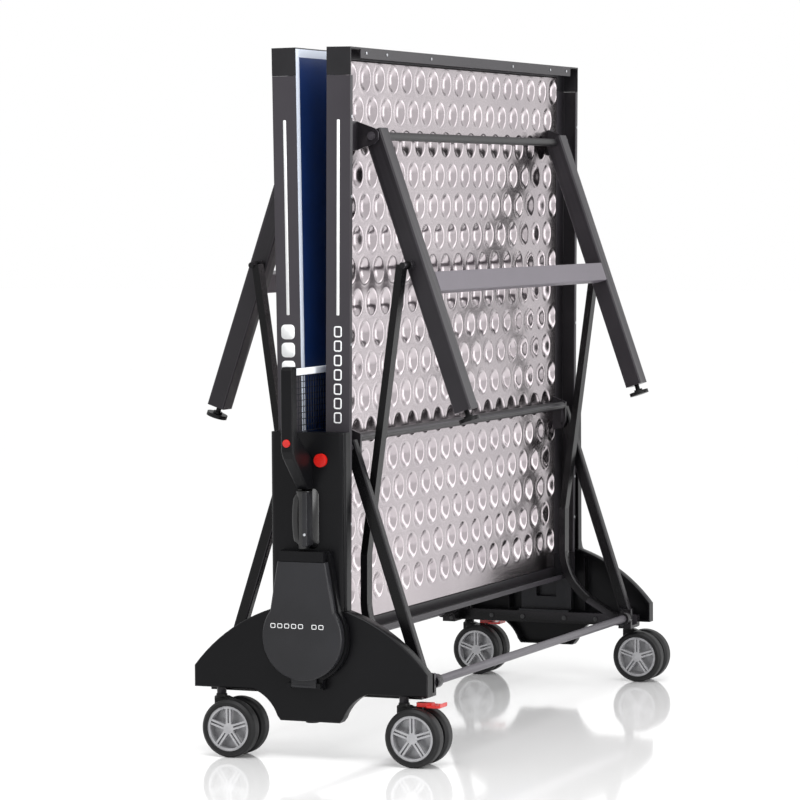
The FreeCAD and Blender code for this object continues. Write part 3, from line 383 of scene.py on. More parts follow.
# Polypropylene covers from an eroded tool: near black, soft sheen, tiny even grain.
COVER_POLYMER = SparkErodedPolymer("black_moulded_polypropylene", "#101012", "#0b0b0d", 0.34,
                                   spread=0.05, mottle_mm=220, grain_mm=0.9,
                                   grain_depth_mm=0.015, specular=0.14)
# Lid in ABS, a lighter charcoal with a smoother, silkier face than the covers.
LID_POLYMER = SparkErodedPolymer("charcoal_moulded_abs", "#29292c", "#222224", 0.32,
                                 spread=0.05, mottle_mm=150, grain_mm=0.8,
                                 grain_depth_mm=0.012, specular=0.22)
# Glass-filled nylon: slightly uneven, dull, with a hint of flow marks.
NYLON = Finish("black_glass_filled_nylon", "#0f0f10", "#09090a", 0.42, mottle_mm=30,
               grain_mm=0.7, grain_depth_mm=0.02, specular=0.2)
# Corner caps in textured polypropylene, a shade off the rails so that their seam shows.
CAP_POLYMER = SparkErodedPolymer("corner_cap_polypropylene", "#1b1a1d", "#151417", 0.4,
                                 mottle_mm=60, grain_mm=0.9, grain_depth_mm=0.02,
                                 specular=0.3)
# Galvanised and clear-coated embossed sheet: silvery with a warm pink tinge, soft mirror.
EMBOSSED_SHEET = RolledSheet("embossed_coated_sheet", "#bdb5b8", "#afa7ab", 0.2,
                             spread=0.04, mottle_mm=260, metallic=1.0)
# Playing side: deep navy stoved lacquer, matt against glare.
BLUE_LACQUER = CourtLacquer("blue_court_lacquer", "#16336b", "#122a58", 0.34, mottle_mm=200,
                            grain_mm=1.0, grain_depth_mm=0.02, specular=0.4)
# Zinc-plated screws: pale, bluish and a little uneven.
ZINC = Finish("zinc_plated_steel", "#c6c8cc", "#a9abb0", 0.3, mottle_mm=6, grain_mm=0.5,
              grain_depth_mm=0.01, metallic=1.0)
# Bolts of the end frame, blackened so that they sink into the beam.
BLACK_OXIDE = Finish("black_oxide_steel", "#242426", "#18181a", 0.35, mottle_mm=6,
                     grain_mm=0.5, grain_depth_mm=0.01, specular=0.5)
# Thermoplastic rubber tread: dull black with fine scuffing.
TYRE_RUBBER = Finish("soft_black_tyre_rubber", "#161617", "#0f0f10", 0.52, mottle_mm=25,
                     grain_mm=0.9, grain_depth_mm=0.03, specular=0.3)
# Wheel rims in silver-pigmented nylon: pearly grey, even, half matt.
RIM_NYLON = Finish("silver_grey_nylon", "#aeaeb0", "#98989b", 0.32, mottle_mm=18,
                   grain_mm=0.5, grain_depth_mm=0.012, metallic=0.4)
# Release buttons and pedals in red ABS: glossy, with faint moulding flow.
RED_ABS = Finish("red_moulded_abs", "#c8180f", "#ae110b", 0.28, mottle_mm=14, grain_mm=0.5,
                 grain_depth_mm=0.01, coat=0.15)
# Net cord in tarred polyester: dark blue-black, fuzzy and dull.
NET_CORD = Finish("dark_polyester_cord", "#12151f", "#0b0d14", 0.7, mottle_mm=20,
                  grain_mm=0.6, grain_depth_mm=0.05, specular=0.3)
# Tape over the top cord: bleached polyester webbing, bright and soft.
WHITE_WEBBING = WovenTape("white_polyester_webbing", "#eef0f3", "#dfe2e8", 0.75,
                          mottle_mm=40, grain_depth_mm=0.12)
# Grip in overmoulded elastomer: deep black with a moist sheen.
GRIP_RUBBER = Finish("black_soft_grip", "#141415", "#0e0e0f", 0.3, mottle_mm=18,
                     grain_mm=0.7, grain_depth_mm=0.02, specular=0.5)
# Printed stripes on the rails: screen ink, slightly raised, off-white.
WHITE_INK = Finish("white_screen_ink", "#eceded", "#dcdddf", 0.45, mottle_mm=30,
                   grain_mm=0.6, grain_depth_mm=0.01)
# Extruded guide in dark anodised aluminium, drawn lines along its length.
DARK_ANODISED = RolledSheet("dark_anodised_extrusion", "#232326", "#1b1b1e", 0.35,
                            mottle_mm=120, metallic=0.6)

NODE_FINISHES: dict[str, Finish] = {
    "play_board": BLUE_LACQUER,
    "cup_sheet": EMBOSSED_SHEET,
    "rails": ANTHRACITE_COAT,
    "corner_caps": CAP_POLYMER,
    "rail_screws": ZINC,
    "half_brackets": ANTHRACITE_COAT,
    "slider_shoes": NYLON,
    "swing_arms": JET_COAT,
    "leg_bars": BAR_COAT,
    "legs": ANTHRACITE_COAT,
    "foot": NYLON,
    "links": JET_COAT,
    "end_frames": JET_COAT,
    "long_tubes": GREY_COAT,
    "frame_bolts": BLACK_OXIDE,
    "post_channels": DARK_ANODISED,
    "base_covers": COVER_POLYMER,
    "post_covers": COVER_POLYMER,
    "net_posts": COVER_POLYMER,
    "net_button": RED_ABS,
    "net_tape": WHITE_WEBBING,
    "net": NET_CORD,
    "ball_holders": COVER_POLYMER,
    "holder_lid": LID_POLYMER,
    "post_grips": GRIP_RUBBER,
    "release": RED_ABS,
    "caster_fork": NYLON,
    "tyres": TYRE_RUBBER,
    "rims": RIM_NYLON,
    "brake_pedal": RED_ABS,
}

# Edge radius, in mm, that each kind of part shows where it turns a corner.
EDGE_RADII: dict[str, float] = {
    "rails": 0.8, "corner_caps": 1.6, "half_brackets": 0.8, "swing_arms": 0.5, "legs": 0.5,
    "foot": 1.6, "links": 2.2, "end_frames": 1.2, "long_tubes": 0.4, "frame_bolts": 0.6,
    "rail_screws": 0.7, "post_channels": 0.8, "base_covers": 1.2, "post_covers": 3.0,
    "net_posts": 1.0, "net_button": 1.0, "ball_holders": 1.4, "holder_lid": 1.0,
    "post_grips": 2.4, "release": 1.8, "caster_fork": 1.2, "brake_pedal": 1.4,
    "rims": 0.6, "slider_shoes": 1.0,
}


def finish_for(node: str) -> Finish:
    """Finds the finish whose key is the longest start of a node's name."""
    keys = [key for key in NODE_FINISHES if node.startswith(key)]
    return NODE_FINISHES[max(keys, key=len)]


# --------------------------------------------------------------------- mesh helpers

def new_piece(name: str, mesh: bpy.types.Mesh, finish: Finish, body: str) -> bpy.types.Object:
    """Makes a visible piece that rides on a body.

    Args:
        name: Piece name.
        mesh: Its mesh, in the row frame.
        finish: Its finish.
        body: The CAD body it rides on.

    Returns:
        The new object.
    """
    mesh.materials.append(finish.material())
    piece = bpy.data.objects.new(name, mesh)
    bpy.context.scene.collection.objects.link(piece)
    for polygon in mesh.polygons:
        polygon.use_smooth = True
    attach(piece, body)
    LOG.info("piece %s on %s, %d faces", name, body, len(mesh.polygons))
    return piece


def mesh_from(name: str, points: Sequence[Point], faces: Sequence[Sequence[int]]) -> bpy.types.Mesh:
    """Makes a mesh from points and faces."""
    mesh = bpy.data.meshes.new(name)
    mesh.from_pydata([tuple(p) for p in points], [], [tuple(f) for f in faces])
    mesh.validate()
    mesh.update()
    return mesh


def rounded_bar(low: Point, high: Point, radius: float, segments: int = 3) -> bmesh.types.BMesh:
    """A block with rounded edges between two corners."""
    form = bmesh.new()
    bmesh.ops.create_cube(form, size=1.0)
    size = [h - l for l, h in zip(low, high)]
    middle = [(h + l) / 2 for l, h in zip(low, high)]
    for vertex in form.verts:
        vertex.co = Vector([c * s + m for c, s, m in zip(vertex.co, size, middle)])
    bmesh.ops.bevel(form, geom=list(form.edges), offset=radius, segments=segments,
                    profile=0.5, affect="EDGES")
    return form


def joined(forms: Iterable[bmesh.types.BMesh], name: str) -> bpy.types.Mesh:
    """Joins several bmesh forms into one mesh."""
    whole = bmesh.new()
    for form in forms:
        part = bpy.data.meshes.new("part")
        form.to_mesh(part)
        whole.from_mesh(part)
        form.free()
        bpy.data.meshes.remove(part)
    mesh = bpy.data.meshes.new(name)
    whole.to_mesh(mesh)
    whole.free()
    return mesh


def turned_disc(profile: Sequence[tuple[float, float]], centre: Point,
                steps: int = 48) -> bmesh.types.BMesh:
    """A form turned about an axis along Y, from (radius, distance along it) pairs.

    Args:
        profile: Radius and distance pairs from one end to the other.
        centre: Where the axis starts.
        steps: Number of sides.

    Returns:
        The form, closed at both ends.
    """
    form = bmesh.new()
    rings = []
    for radius, along in profile:
        ring = []
        for step in range(steps):
            turn = 2 * math.pi * step / steps
            local = Vector((radius * math.cos(turn), along, radius * math.sin(turn)))
            ring.append(form.verts.new(Vector(centre) + local))
        rings.append(ring)
    for first, second in zip(rings, rings[1:]):
        for step in range(steps):
            after = (step + 1) % steps
            form.faces.new((first[step], first[after], second[after], second[step]))
    form.faces.new(list(reversed(rings[0])))
    form.faces.new(rings[-1])
    bmesh.ops.recalc_face_normals(form, faces=form.faces)
    return form


def printed_mark(place: Callable[[float, float, float], Point], middle: float, wide: float,
                 start: float, stop: float, line: float = 0.0) -> bmesh.types.BMesh:
    """One printed mark with rounded corners, a quarter of a millimetre thick.

    Args:
        place: Turns (across, along, lift off the face), in mm, into a point in metres.
        middle: Middle of the mark across the print.
        wide: Its width.
        start: Where it starts along the print.
        stop: Where it ends.
        line: Width of the outline, or 0 for a solid mark.

    Returns:
        The mark.
    """
    corner = min(wide, stop - start) * 0.28
    steps = 5
    loops = []
    for inset in ((0.0, line) if line else (0.0,)):
        loop = []
        radius = max(corner - inset, 0.4)
        for quarter, (sx, su) in enumerate(((1, 1), (-1, 1), (-1, -1), (1, -1))):
            cx = middle + sx * (wide / 2 - inset - radius)
            cu = (start + stop) / 2 + su * ((stop - start) / 2 - inset - radius)
            for step in range(steps + 1):
                angle = math.pi / 2 * (quarter + step / steps)
                loop.append((cx + radius * math.cos(angle), cu + radius * math.sin(angle)))
        loops.append(loop)
    form = bmesh.new()
    layers = [[[form.verts.new(place(x, u, lift)) for x, u in loop] for loop in loops]
              for lift in (0.0, 0.25)]
    count = len(loops[0])
    pairs = list(zip(*layers))
    if line:
        pairs += [(rings[0], rings[1]) for rings in layers]
    else:
        for rings in layers:
            form.faces.new(rings[0])
    for first, second in pairs:
        for i in range(count):
            j = (i + 1) % count
            form.faces.new((first[i], first[j], second[j], second[i]))
    bmesh.ops.recalc_face_normals(form, faces=form.faces)
    return form


@dataclass(frozen=True)
class MarkRow:
    """A row of equal printed marks, in millimetres.

    Attributes:
        count: Number of marks.
        first: Where the first one starts along the print.
        pitch: Distance from one mark to the next.
        length: Length of a mark along the print.
        wide: Width of a mark.
        middle: Middle of the row across the print.
        line: Width of the outline, or 0 for solid marks.
    """

    count: int
    first: float
    pitch: float
    length: float
    wide: float
    middle: float
    line: float = 0.0

    def forms(self, place: Callable[[float, float, float], Point]) -> list[bmesh.types.BMesh]:
        """Builds every mark of the row on the face that place describes."""
        starts = [self.first + self.pitch * i for i in range(self.count)]
        return [printed_mark(place, self.middle, self.wide, start, start + self.length,
                             self.line) for start in starts]


# Outlines on the right half's rails and bolder, solid marks on the left half's.
RAIL_ROWS: dict[str, MarkRow] = {
    "right": MarkRow(7, 502.0, 33.2, 26.0, 20.0, 30.0, 3.4),
    "left": MarkRow(6, 486.0, 42.0, 34.0, 34.0, 31.0),
}


def swept(path: Sequence[Point], radii: Sequence[float], flat: float = 1.0,
          sides: int = 20) -> bmesh.types.BMesh:
    """A form swept along an upright path with its own radius at each point.

    Args:
        path: Centre points, in metres.
        radii: Half width at each point, in metres.
        flat: Depth of the section as a share of its width.
        sides: Number of sides.

    Returns:
        The form, closed at both ends.
    """
    form = bmesh.new()
    rings = []
    for (x, y, z), radius in zip(path, radii):
        ring = []
        for side in range(sides):
            angle = 2 * math.pi * side / sides
            ring.append(form.verts.new((x + radius * math.cos(angle),
                                        y + radius * flat * math.sin(angle), z)))
        rings.append(ring)
    for first, second in zip(rings, rings[1:]):
        for side in range(sides):
            after = (side + 1) % sides
            form.faces.new((first[side], first[after], second[after], second[side]))
    form.faces.new(rings[0])
    form.faces.new(rings[-1])
    bmesh.ops.recalc_face_normals(form, faces=form.faces)
    return form


# --------------------------------------------------------------------- dressing CAD nodes

@dataclass
class NodeDresser:
    """Gives every CAD node its finish and softened edges.

    Attributes:
        nodes: Node name to object.
    """

    nodes: dict[str, bpy.types.Object]

    def dress_all(self) -> None:
        """Dresses each node in turn."""
        for name, obj in self.nodes.items():
            self.dress(name, obj)

    def dress(self, name: str, obj: bpy.types.Object) -> None:
        """Dresses one node.

        Args:
            name: Node name.
            obj: Its object.
        """
        finish = finish_for(name)
        material = finish.material()
        if not obj.material_slots:
            obj.data.materials.append(material)
        for slot in obj.material_slots:
            slot.material = material
        self.soften(name, obj)
        LOG.info("node %s dressed in %s", name, finish.name)

    def soften(self, name: str, obj: bpy.types.Object) -> None:
        """Rounds the corners that the part shows."""
        keys = [key for key in EDGE_RADII if name.startswith(key)]
        if not keys:
            return
        radius = EDGE_RADII[max(keys, key=len)]
        weld = obj.modifiers.new("weld", "WELD")
        weld.merge_threshold = 1e-5
        bevel = obj.modifiers.new("edge_rounding", "BEVEL")
        bevel.width = radius * MM
        bevel.segments = 2
        bevel.limit_method = "ANGLE"
        bevel.angle_limit = math.radians(38)
        bevel.harden_normals = True


# --------------------------------------------------------------------- halves

@dataclass
class HalfDetails:
    """Embossed sheet and printed stripes of one folding half.

    Attributes:
        side: "right" or "left".
        cup_pitch: Distance between cups in a row.
        row_pitch: Distance between rows.
        cup_radius: Outer radius of a cup.
        cup_depth: Depth of a cup.
        first_row: Distance of the first row from the inner edge.
        rows: Number of rows.
        lean: Outward lean of the stored half, in radians.
        gap: Distance of the playing surface from the middle, at the inner edge.
        bottom: Height of the inner edge above the floor.
        level: Distance of the sheet's skin from the playing surface.
        back: Distance of the sheet's back from the playing surface.
        half_width: Half the sheet's width.
        low: Distance of the sheet's lower edge from the inner edge.
        high: Distance of its upper edge.
        flat_edge: Width of the plain edge round the sheet.
        rail_face: Distance of the rails' outer faces from the middle of the table.
        stripe_middle: Middle of the stripe, in mm out from the playing surface.
        stripe_width: Width of the stripe, in mm.
        stripe_start: Where the stripe starts, in mm from the inner edge.
        stripe_stop: Where the stripe stops.
    """

    side: str
    cup_pitch: float = 84.0 * MM
    row_pitch: float = 75.0 * MM
    cup_radius: float = 31.0 * MM
    cup_depth: float = 10.5 * MM
    first_row: float = 102.0 * MM
    rows: int = 17
    lean: float = math.radians(0.62)
    gap: float = 25.0 * MM
    bottom: float = 280.0 * MM
    level: float = 21.7 * MM
    back: float = 8.2 * MM
    half_width: float = 703.2 * MM
    low: float = 27.3 * MM
    high: float = 1342.7 * MM
    flat_edge: float = 2.0 * MM
    rail_face: float = 762.5 * MM
    stripe_middle: float = 30.0
    stripe_width: float = 7.2
    stripe_start: float = 752.0
    stripe_stop: float = 1203.0

    @property
    def body(self) -> str:
        """CAD body of this half."""
        return "half_" + self.side

    @property
    def sign(self) -> float:
        """1 for the right half, -1 for the left."""
        return 1.0 if self.side == "right" else -1.0

    def placed(self, out: np.ndarray, across: np.ndarray, along: np.ndarray) -> np.ndarray:
        """Turns distances on the half into row frame points.

        Args:
            out: Distance from the playing surface.
            across: Distance along the table's width.
            along: Distance from the inner edge.

        Returns:
            An array of points.
        """
        x = self.gap + along * math.sin(self.lean) + out * math.cos(self.lean)
        z = self.bottom + along * math.cos(self.lean) - out * math.sin(self.lean)
        return np.stack([x * self.sign, across, z], axis=-1)

    def cup_height(self, across: np.ndarray, along: np.ndarray) -> np.ndarray:
        """Height of the sheet's skin at each point of a grid, cups sunk and rims raised."""
        row = np.clip(np.rint((along - self.first_row) / self.row_pitch), 0, self.rows - 1)
        shift = (row % 2) * 0.5
        column = np.rint(across / self.cup_pitch - shift) + shift
        column = np.where(shift > 0, np.clip(column, -7.5, 7.5), np.clip(column, -8, 8))
        far = np.hypot(across - column * self.cup_pitch,
                       along - self.first_row - row * self.row_pitch)
        share = np.clip(far / self.cup_radius, 0, 1)
        dish = (1 - share ** 2.6) ** 1.6
        rim = 0.5 * MM * np.exp(-((far - self.cup_radius - 1.5 * MM) / (3.0 * MM)) ** 2)
        return self.level - self.cup_depth * dish + rim

    def sheet(self, replaced: str) -> bpy.types.Object:
        """Builds the embossed sheet that stands for the CAD plate.

        Args:
            replaced: The CAD node it stands for.

        Returns:
            The sheet.
        """
        across = np.linspace(-self.half_width, self.half_width, 421)
        along = np.linspace(self.low, self.high, 395)
        grid_y, grid_u = np.meshgrid(across, along)
        edge = np.minimum.reduce([self.half_width - np.abs(grid_y), grid_u - self.low,
                                  self.high - grid_u])
        height = self.cup_height(grid_y, grid_u)
        height = np.where(edge < self.flat_edge, self.level, height)
        front = self.placed(height, grid_y, grid_u).reshape(-1, 3)
        rows, columns = grid_y.shape
        index = np.arange(rows * columns).reshape(rows, columns)
        quads = np.stack([index[:-1, :-1], index[:-1, 1:], index[1:, 1:], index[1:, :-1]],
                         axis=-1).reshape(-1, 4)
        loop = np.concatenate([index[0, :], index[1:, -1], index[-1, -2::-1], index[-2:0:-1, 0]])
        rim = self.placed(np.full(loop.size, self.back), grid_y.ravel()[loop],
                          grid_u.ravel()[loop])
        start = front.shape[0]
        walls = []
        for i in range(loop.size):
            j = (i + 1) % loop.size
            walls.append((loop[j], loop[i], start + i, start + j))
        faces = [tuple(q) for q in quads] + walls + [tuple(range(start, start + loop.size))]
        if self.sign < 0:
            faces = [tuple(reversed(f)) for f in faces]
        mesh = mesh_from("embossed_sheet_" + self.side, np.vstack([front, rim]), faces)
        piece = new_piece("embossed_sheet_" + self.side, mesh, EMBOSSED_SHEET, self.body)
        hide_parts(replaced)
        return piece

    def stripe(self, end: int) -> bpy.types.Object:
        """Printed stripe and a row of plain marks on the side rail.

        Args:
            end: -1 for the near rail, 1 for the far one.

        Returns:
            The printed set.
        """
        def on_rail(out: float, along: float, lift: float) -> Point:
            """A point on the rail's outer face."""
            y = self.rail_face * end + lift * MM * end
            return self.placed(np.array(out * MM), np.array(y), np.array(along * MM)).tolist()

        forms = [printed_mark(on_rail, self.stripe_middle, self.stripe_width, self.stripe_start,
                              self.stripe_stop)]
        forms += RAIL_ROWS[self.side].forms(on_rail)
        tag = "near" if end < 0 else "far"
        name = "rail_stripe_%s_%s" % (tag, self.side)
        return new_piece(name, joined(forms, name), WHITE_INK, self.body)

    def build(self) -> None:
        """Builds every detail of the half."""
        self.sheet("cup_sheet_" + self.side)
        for end in (-1, 1):
            self.stripe(end)


# --------------------------------------------------------------------- net

@dataclass
class NetDetails:
    """Knotted net and its folded tape.

    Attributes:
        cell: Size of a mesh opening, centre to centre.
        cord: Radius of the net's cord.
        cord_share: Share of the net's flat rectangle that its cords fill. Not used.
        tape_round: Radius of the tape's folded edges.
        tape_margin: Distance from the tape's ends to the first and last stitch.
        stitch_rows: Heights of the two rows of stitches over the tape's lower edge.
        stitch: Length of a stitch.
        stitch_pitch: Distance from one stitch to the next.
        thread_half: Half the thickness of a stitch.
        thread_round: Radius of its edges.
    """

    cell: float = 14.0 * MM
    cord: float = 1.0 * MM
    cord_share: float = 0.45
    tape_round: float = 1.9 * MM
    tape_margin: float = 6.0 * MM
    stitch_rows: tuple[float, float] = (3.2 * MM, 12.4 * MM)
    stitch: float = 5.2 * MM
    stitch_pitch: float = 9.0 * MM
    thread_half: float = 0.3 * MM
    thread_round: float = 0.2 * MM
    body: str = "carriage"

    def cords(self) -> bpy.types.Object:
        """Lattice of cords that stands for the net's thin CAD sheet."""
        low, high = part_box("net")
        columns = int((high[1] - low[1]) / self.cell)
        rows = int((high[2] - low[2]) / self.cell)
        wide = (high[1] - low[1] - 2 * self.cord) / columns
        tall = (high[2] - low[2] - 2 * self.cord) / rows
        points: list[Point] = []
        faces: list[tuple[int, ...]] = []
        for i in range(columns + 1):
            y = low[1] + self.cord + i * wide
            self.strand(points, faces, (0, y, low[2]), (0, y, high[2]), i)
        for j in range(rows + 1):
            z = low[2] + self.cord + j * tall
            self.strand(points, faces, (0, low[1], z), (0, high[1], z), j)
        mesh = mesh_from("net_cords", points, faces)
        piece = new_piece("net_cords", mesh, NET_CORD, self.body)
        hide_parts("net")
        return piece

    def strand(self, points: list[Point], faces: list[tuple[int, ...]], start: Point,
               end: Point, number: int) -> None:
        """Adds one cord with six sides and a slight drift out of the net's plane.

        Args:
            points: Points so far, added to.
            faces: Faces so far, added to.
            start: One end of the cord.
            end: The other end.
            number: Which cord this is; it sets the drift.
        """
        first = Vector(start)
        run = Vector(end) - first
        side = Vector((0, 1, 0)) if abs(run.z) > abs(run.y) else Vector((0, 0, 1))
        steps = max(2, int(run.length / 0.06))
        base = len(points)
        for step in range(steps + 1):
            share = step / steps
            drift = 0.12 * MM * math.sin(number * 1.7 + share * 9.0)
            middle = first + run * share + Vector((drift, 0, 0))
            for turn in range(6):
                angle = math.pi * turn / 3
                points.append(tuple(middle + Vector((self.cord * math.cos(angle), 0, 0))
                                    + side * self.cord * math.sin(angle)))
        for step in range(steps):
            for turn in range(6):
                a = base + step * 6 + turn
                b = base + step * 6 + (turn + 1) % 6
                faces.append((a, b, b + 6, a + 6))
        faces.append(tuple(base + turn for turn in range(5, -1, -1)))
        faces.append(tuple(base + steps * 6 + turn for turn in range(6)))

    def tape(self) -> bpy.types.Object:
        """Webbing folded over the top cord, with two rows of stitches."""
        low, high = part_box("net_tape")
        forms = [rounded_bar(tuple(low), tuple(high), self.tape_round, 4)]
        thread = self.thread_half
        for side in (-1, 1):
            for row in self.stitch_rows:
                x = side * (high[0] - thread / 2)
                z = low[2] + row
                y = low[1] + self.tape_margin
                while y < high[1] - self.tape_margin:
                    forms.append(rounded_bar((x - thread, y, z - thread),
                                             (x + thread, y + self.stitch, z + thread),
                                             self.thread_round, 1))
                    y += self.stitch_pitch
        piece = new_piece("net_top_tape", joined(forms, "net_top_tape"), WHITE_WEBBING,
                          self.body)
        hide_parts("net_tape")
        return piece

    def build(self) -> None:
        """Builds the net and its tape."""
        self.cords()
        self.tape()


# --------------------------------------------------------------------- end posts

@dataclass
class PostDetails:
    """Moulded details on the outer face of one end post, with a near-black plate of painted shade
    behind the grip and a pale disc of painted highlight on its strip.

    Attributes:
        end: -1 for the near post, 1 for the far one.
        face: Distance of the post's outer face from the middle of the table.
        grip_low: Lower end of the grip.
        grip_high: Upper end of the grip.
        lobe_out: Distance of the lobe's middle from the post's face.
        lobe_radius: Half width of the lobe.
        lobe_offset: Sideways distance of the lobe's ends.
        lobe_bow: How far its middle bows out beyond its ends.
        strip_sides: Sideways limits of the strip.
        strip_depth: Inner and outer limits of the strip, from the post's face.
        glint_disc_place: Sideways place and height of the pale disc that paints the highlight on
            the strip.
        lid_face: Distance of the lid's face from the middle of the table.
    """

    end: int
    face: float = 804.0 * MM
    grip_low: float = 500.0 * MM
    grip_high: float = 627.0 * MM
    lobe_out: float = 19.0 * MM
    lobe_radius: float = 10.5 * MM
    lobe_offset: float = 9.0 * MM
    lobe_bow: float = 9.0 * MM
    strip_sides: tuple[float, float] = (3.0 * MM, 16.0 * MM)
    strip_depth: tuple[float, float] = (3.0 * MM, 38.5 * MM)
    glint_disc_place: tuple[float, float] = (9.5 * MM, 529.0 * MM)
    lid_face: float = 842.0 * MM

    @property
    def tag(self) -> str:
        """near or far."""
        return "near" if self.end < 0 else "far"

    def grip_lobe(self) -> bpy.types.Object:
        """Bowed outer half of the grip, thickest at its middle."""
        steps = 17
        path = []
        radii = []
        for step in range(steps):
            share = step / (steps - 1)
            bow = math.sin(math.pi * share) ** 0.55
            path.append((-self.lobe_offset - self.lobe_bow * bow,
                         (self.face + self.lobe_out) * self.end,
                         self.grip_low + share * (self.grip_high - self.grip_low)))
            taper = min(1.0, 0.45 + 4.5 * min(share, 1 - share))
            radii.append(self.lobe_radius * taper)
        name = "grip_lobe_" + self.tag
        return new_piece(name, joined([swept(path, radii, 1.25)], name), GRIP_RUBBER, "carriage")

    def grip_strip(self) -> bpy.types.Object:
        """Straight strip beside the lobe."""
        name = "grip_strip_" + self.tag
        near, far = sorted((self.face + depth) * self.end for depth in self.strip_depth)
        left, right = self.strip_sides
        bar = rounded_bar((left, near, self.grip_low + 2 * MM),
                          (right, far, self.grip_high + 1 * MM), 3 * MM, 4)
        return new_piece(name, joined([bar], name), LID_POLYMER, "carriage")

    def glint_disc(self) -> bpy.types.Object:
        """Pale plated disc on the grip's strip: a painted highlight where the strip shows a white
        glint.
        """
        name = "grip_glint_disc_" + self.tag
        across, height = self.glint_disc_place
        seat = (self.face + self.strip_depth[1] - 0.2 * MM) * self.end
        head = turned_disc([(3.4 * MM, 0.0), (3.2 * MM, 0.5 * MM * self.end),
                            (2.0 * MM, 1.1 * MM * self.end)], (across, seat, height), 24)
        # The pale zinc disc paints the strip's highlight.
        return new_piece(name, joined([head], name), ZINC, "carriage")

    def recess_shade(self) -> bpy.types.Object:
        """Glossy black plate just off the post's face behind the grip: painted shade standing for
        the shadowed hollow round the grip.
        """
        name = "grip_recess_shade_" + self.tag

        def on_post(x: float, z: float, lift: float) -> Point:
            """A point just off the post's face; the plate is 1 mm thick."""
            return (x * MM, (self.face + (0.2 + lift * 4) * MM) * self.end, z * MM)

        # Painted shade: the near-black plate stands for the shadowed hollow round the grip.
        plate = printed_mark(on_post, 1.0, 58.0, 494.0, 634.0)
        return new_piece(name, joined([plate], name), GRIP_RUBBER, "carriage")

    def lid_marks(self) -> bpy.types.Object:
        """Row of small plain outlines printed on the lid."""
        name = "lid_marks_" + self.tag

        def on_lid(x: float, z: float, lift: float) -> Point:
            """A point on the lid's face, which reads from left to right."""
            return (x * MM, (self.lid_face + lift * MM) * self.end, z * MM)

        pitch = 17.5
        centres = [-72.0 + pitch * i for i in range(5)] + [32.0, 32.0 + pitch]
        forms = [printed_mark(on_lid, x, 12.5, 311.0, 322.0, 1.7) for x in centres]
        return new_piece(name, joined(forms, name), WHITE_INK, "lid_" + self.tag)

    def build(self) -> None:
        """Builds every detail of the post."""
        self.grip_lobe()
        self.grip_strip()
        self.glint_disc()
        self.recess_shade()
        self.lid_marks()


# --------------------------------------------------------------------- stage

@dataclass(frozen=True)
class SoftPanel:
    """One soft rectangular light that faces the table.

    Attributes:
        name: Light name.
        place: Where it stands.
        width: Width in metres.
        height: Height in metres.
        power: Power in watts.
        aim: The point it faces.
    """

    name: str
    place: Point
    width: float
    height: float
    power: float
    aim: Point = (0.0, 0.0, 0.8)

    def add(self) -> None:
        """Adds the light to the scene."""
        data = bpy.data.lights.new(self.name, "AREA")
        data.energy = self.power
        data.shape = "RECTANGLE"
        data.size = self.width
        data.size_y = self.height
        lamp = bpy.data.objects.new(self.name, data)
        lamp.location = self.place
        towards = Vector(self.aim) - Vector(self.place)
        lamp.rotation_euler = towards.to_track_quat("-Z", "Y").to_euler()
        bpy.context.scene.collection.objects.link(lamp)


# A narrow panel draws the bright edge lines, a wide low one lights the cups of the sheet,
# and a softbox overhead fills the rest.
PANELS = (
    SoftPanel("side_panel", (3.9, -1.7, 1.3), 0.8, 2.6, 70),
    SoftPanel("sheet_panel", (2.9, 3.1, 1.3), 1.5, 2.8, 24),
    SoftPanel("top_softbox", (0.6, -2.6, 4.6), 2.6, 2.6, 120),
)


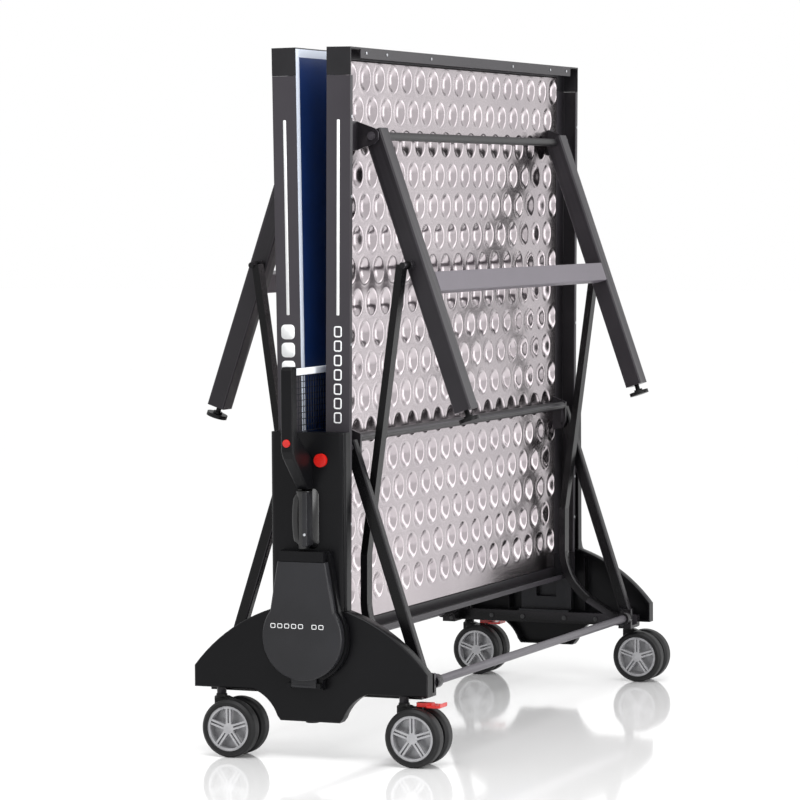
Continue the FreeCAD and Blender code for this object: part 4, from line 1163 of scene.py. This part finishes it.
@dataclass
class Studio:
    """Pale floor, soft lights and the camera.

    Attributes:
        focal_mm: Focal length on the sensor.
        sensor_mm: Width of the sensor.
        azimuth: Camera azimuth in degrees.
        elevation: Camera elevation in degrees.
        roll: Camera roll in degrees.
        shift: Camera offsets along its own right, up and back axes, in metres.
        target: The point the offsets are measured from.
        floor_reach: Half the width of the floor.
    """

    focal_mm: float = 160.850835
    sensor_mm: float = 36.0
    azimuth: float = 22.848
    elevation: float = 3.149
    roll: float = -0.392
    shift: Point = (0.09624, -0.04464, 8.986257)
    target: Point = (0.0, 0.0, 0.75)
    floor_reach: float = 40.0

    def camera(self) -> None:
        """Places the camera."""
        a, e, r = (math.radians(v) for v in (self.azimuth, self.elevation, self.roll))
        back = Vector((math.sin(a) * math.cos(e), -math.cos(a) * math.cos(e), math.sin(e)))
        right = Vector((math.cos(a), math.sin(a), 0))
        up = back.cross(right)
        x_axis = right * math.cos(r) + up * math.sin(r)
        y_axis = up * math.cos(r) - right * math.sin(r)
        place = (Vector(self.target) - x_axis * self.shift[0] - y_axis * self.shift[1]
                 + back * self.shift[2])
        data = bpy.data.cameras.new("camera")
        data.sensor_width = self.sensor_mm
        data.lens = self.focal_mm
        data.clip_end = 60.0
        camera = bpy.data.objects.new("camera", data)
        rows = [list(v) for v in zip(x_axis, y_axis, back)]
        camera.matrix_world = Matrix.Translation(place) @ Matrix(rows).to_4x4()
        bpy.context.scene.collection.objects.link(camera)
        bpy.context.scene.camera = camera

    def floor(self) -> None:
        """Lays a pale floor with a faint polish."""
        reach = self.floor_reach
        mesh = mesh_from("floor", [(-reach, -reach, 0), (reach, -reach, 0), (reach, reach, 0),
                                   (-reach, reach, 0)], [(0, 1, 2, 3)])
        made = bpy.data.materials.new("pale_studio_floor")
        made.use_nodes = True
        shader = made.node_tree.nodes["Principled BSDF"]
        for name, value in (("Base Color", linear("#fdfdfd")), ("Roughness", 0.07),
                            ("Specular IOR Level", 0.7)):
            shader.inputs[name].default_value = value
        mesh.materials.append(made)
        floor = bpy.data.objects.new("floor", mesh)
        bpy.context.scene.collection.objects.link(floor)

    def world(self) -> None:
        """Surrounds the scene with even white light."""
        world = bpy.data.worlds.new("studio")
        world.use_nodes = True
        background = world.node_tree.nodes["Background"]
        background.inputs["Color"].default_value = linear("#ffffff")
        background.inputs["Strength"].default_value = 1.0
        bpy.context.scene.world = world

    def build(self) -> None:
        """Sets up the whole studio."""
        self.camera()
        self.floor()
        self.world()
        for panel in PANELS:
            panel.add()


def main() -> None:
    logging.basicConfig(level=logging.INFO, format="%(name)s: %(message)s")
    bpy.context.scene.view_settings.view_transform = "Standard"
    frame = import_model()
    NodeDresser(frame["nodes"]).dress_all()
    for side in ("right", "left"):
        HalfDetails(side).build()
    for end in (-1, 1):
        PostDetails(end).build()
    NetDetails().build()
    Studio().build()


if __name__ == "__main__":
    main()
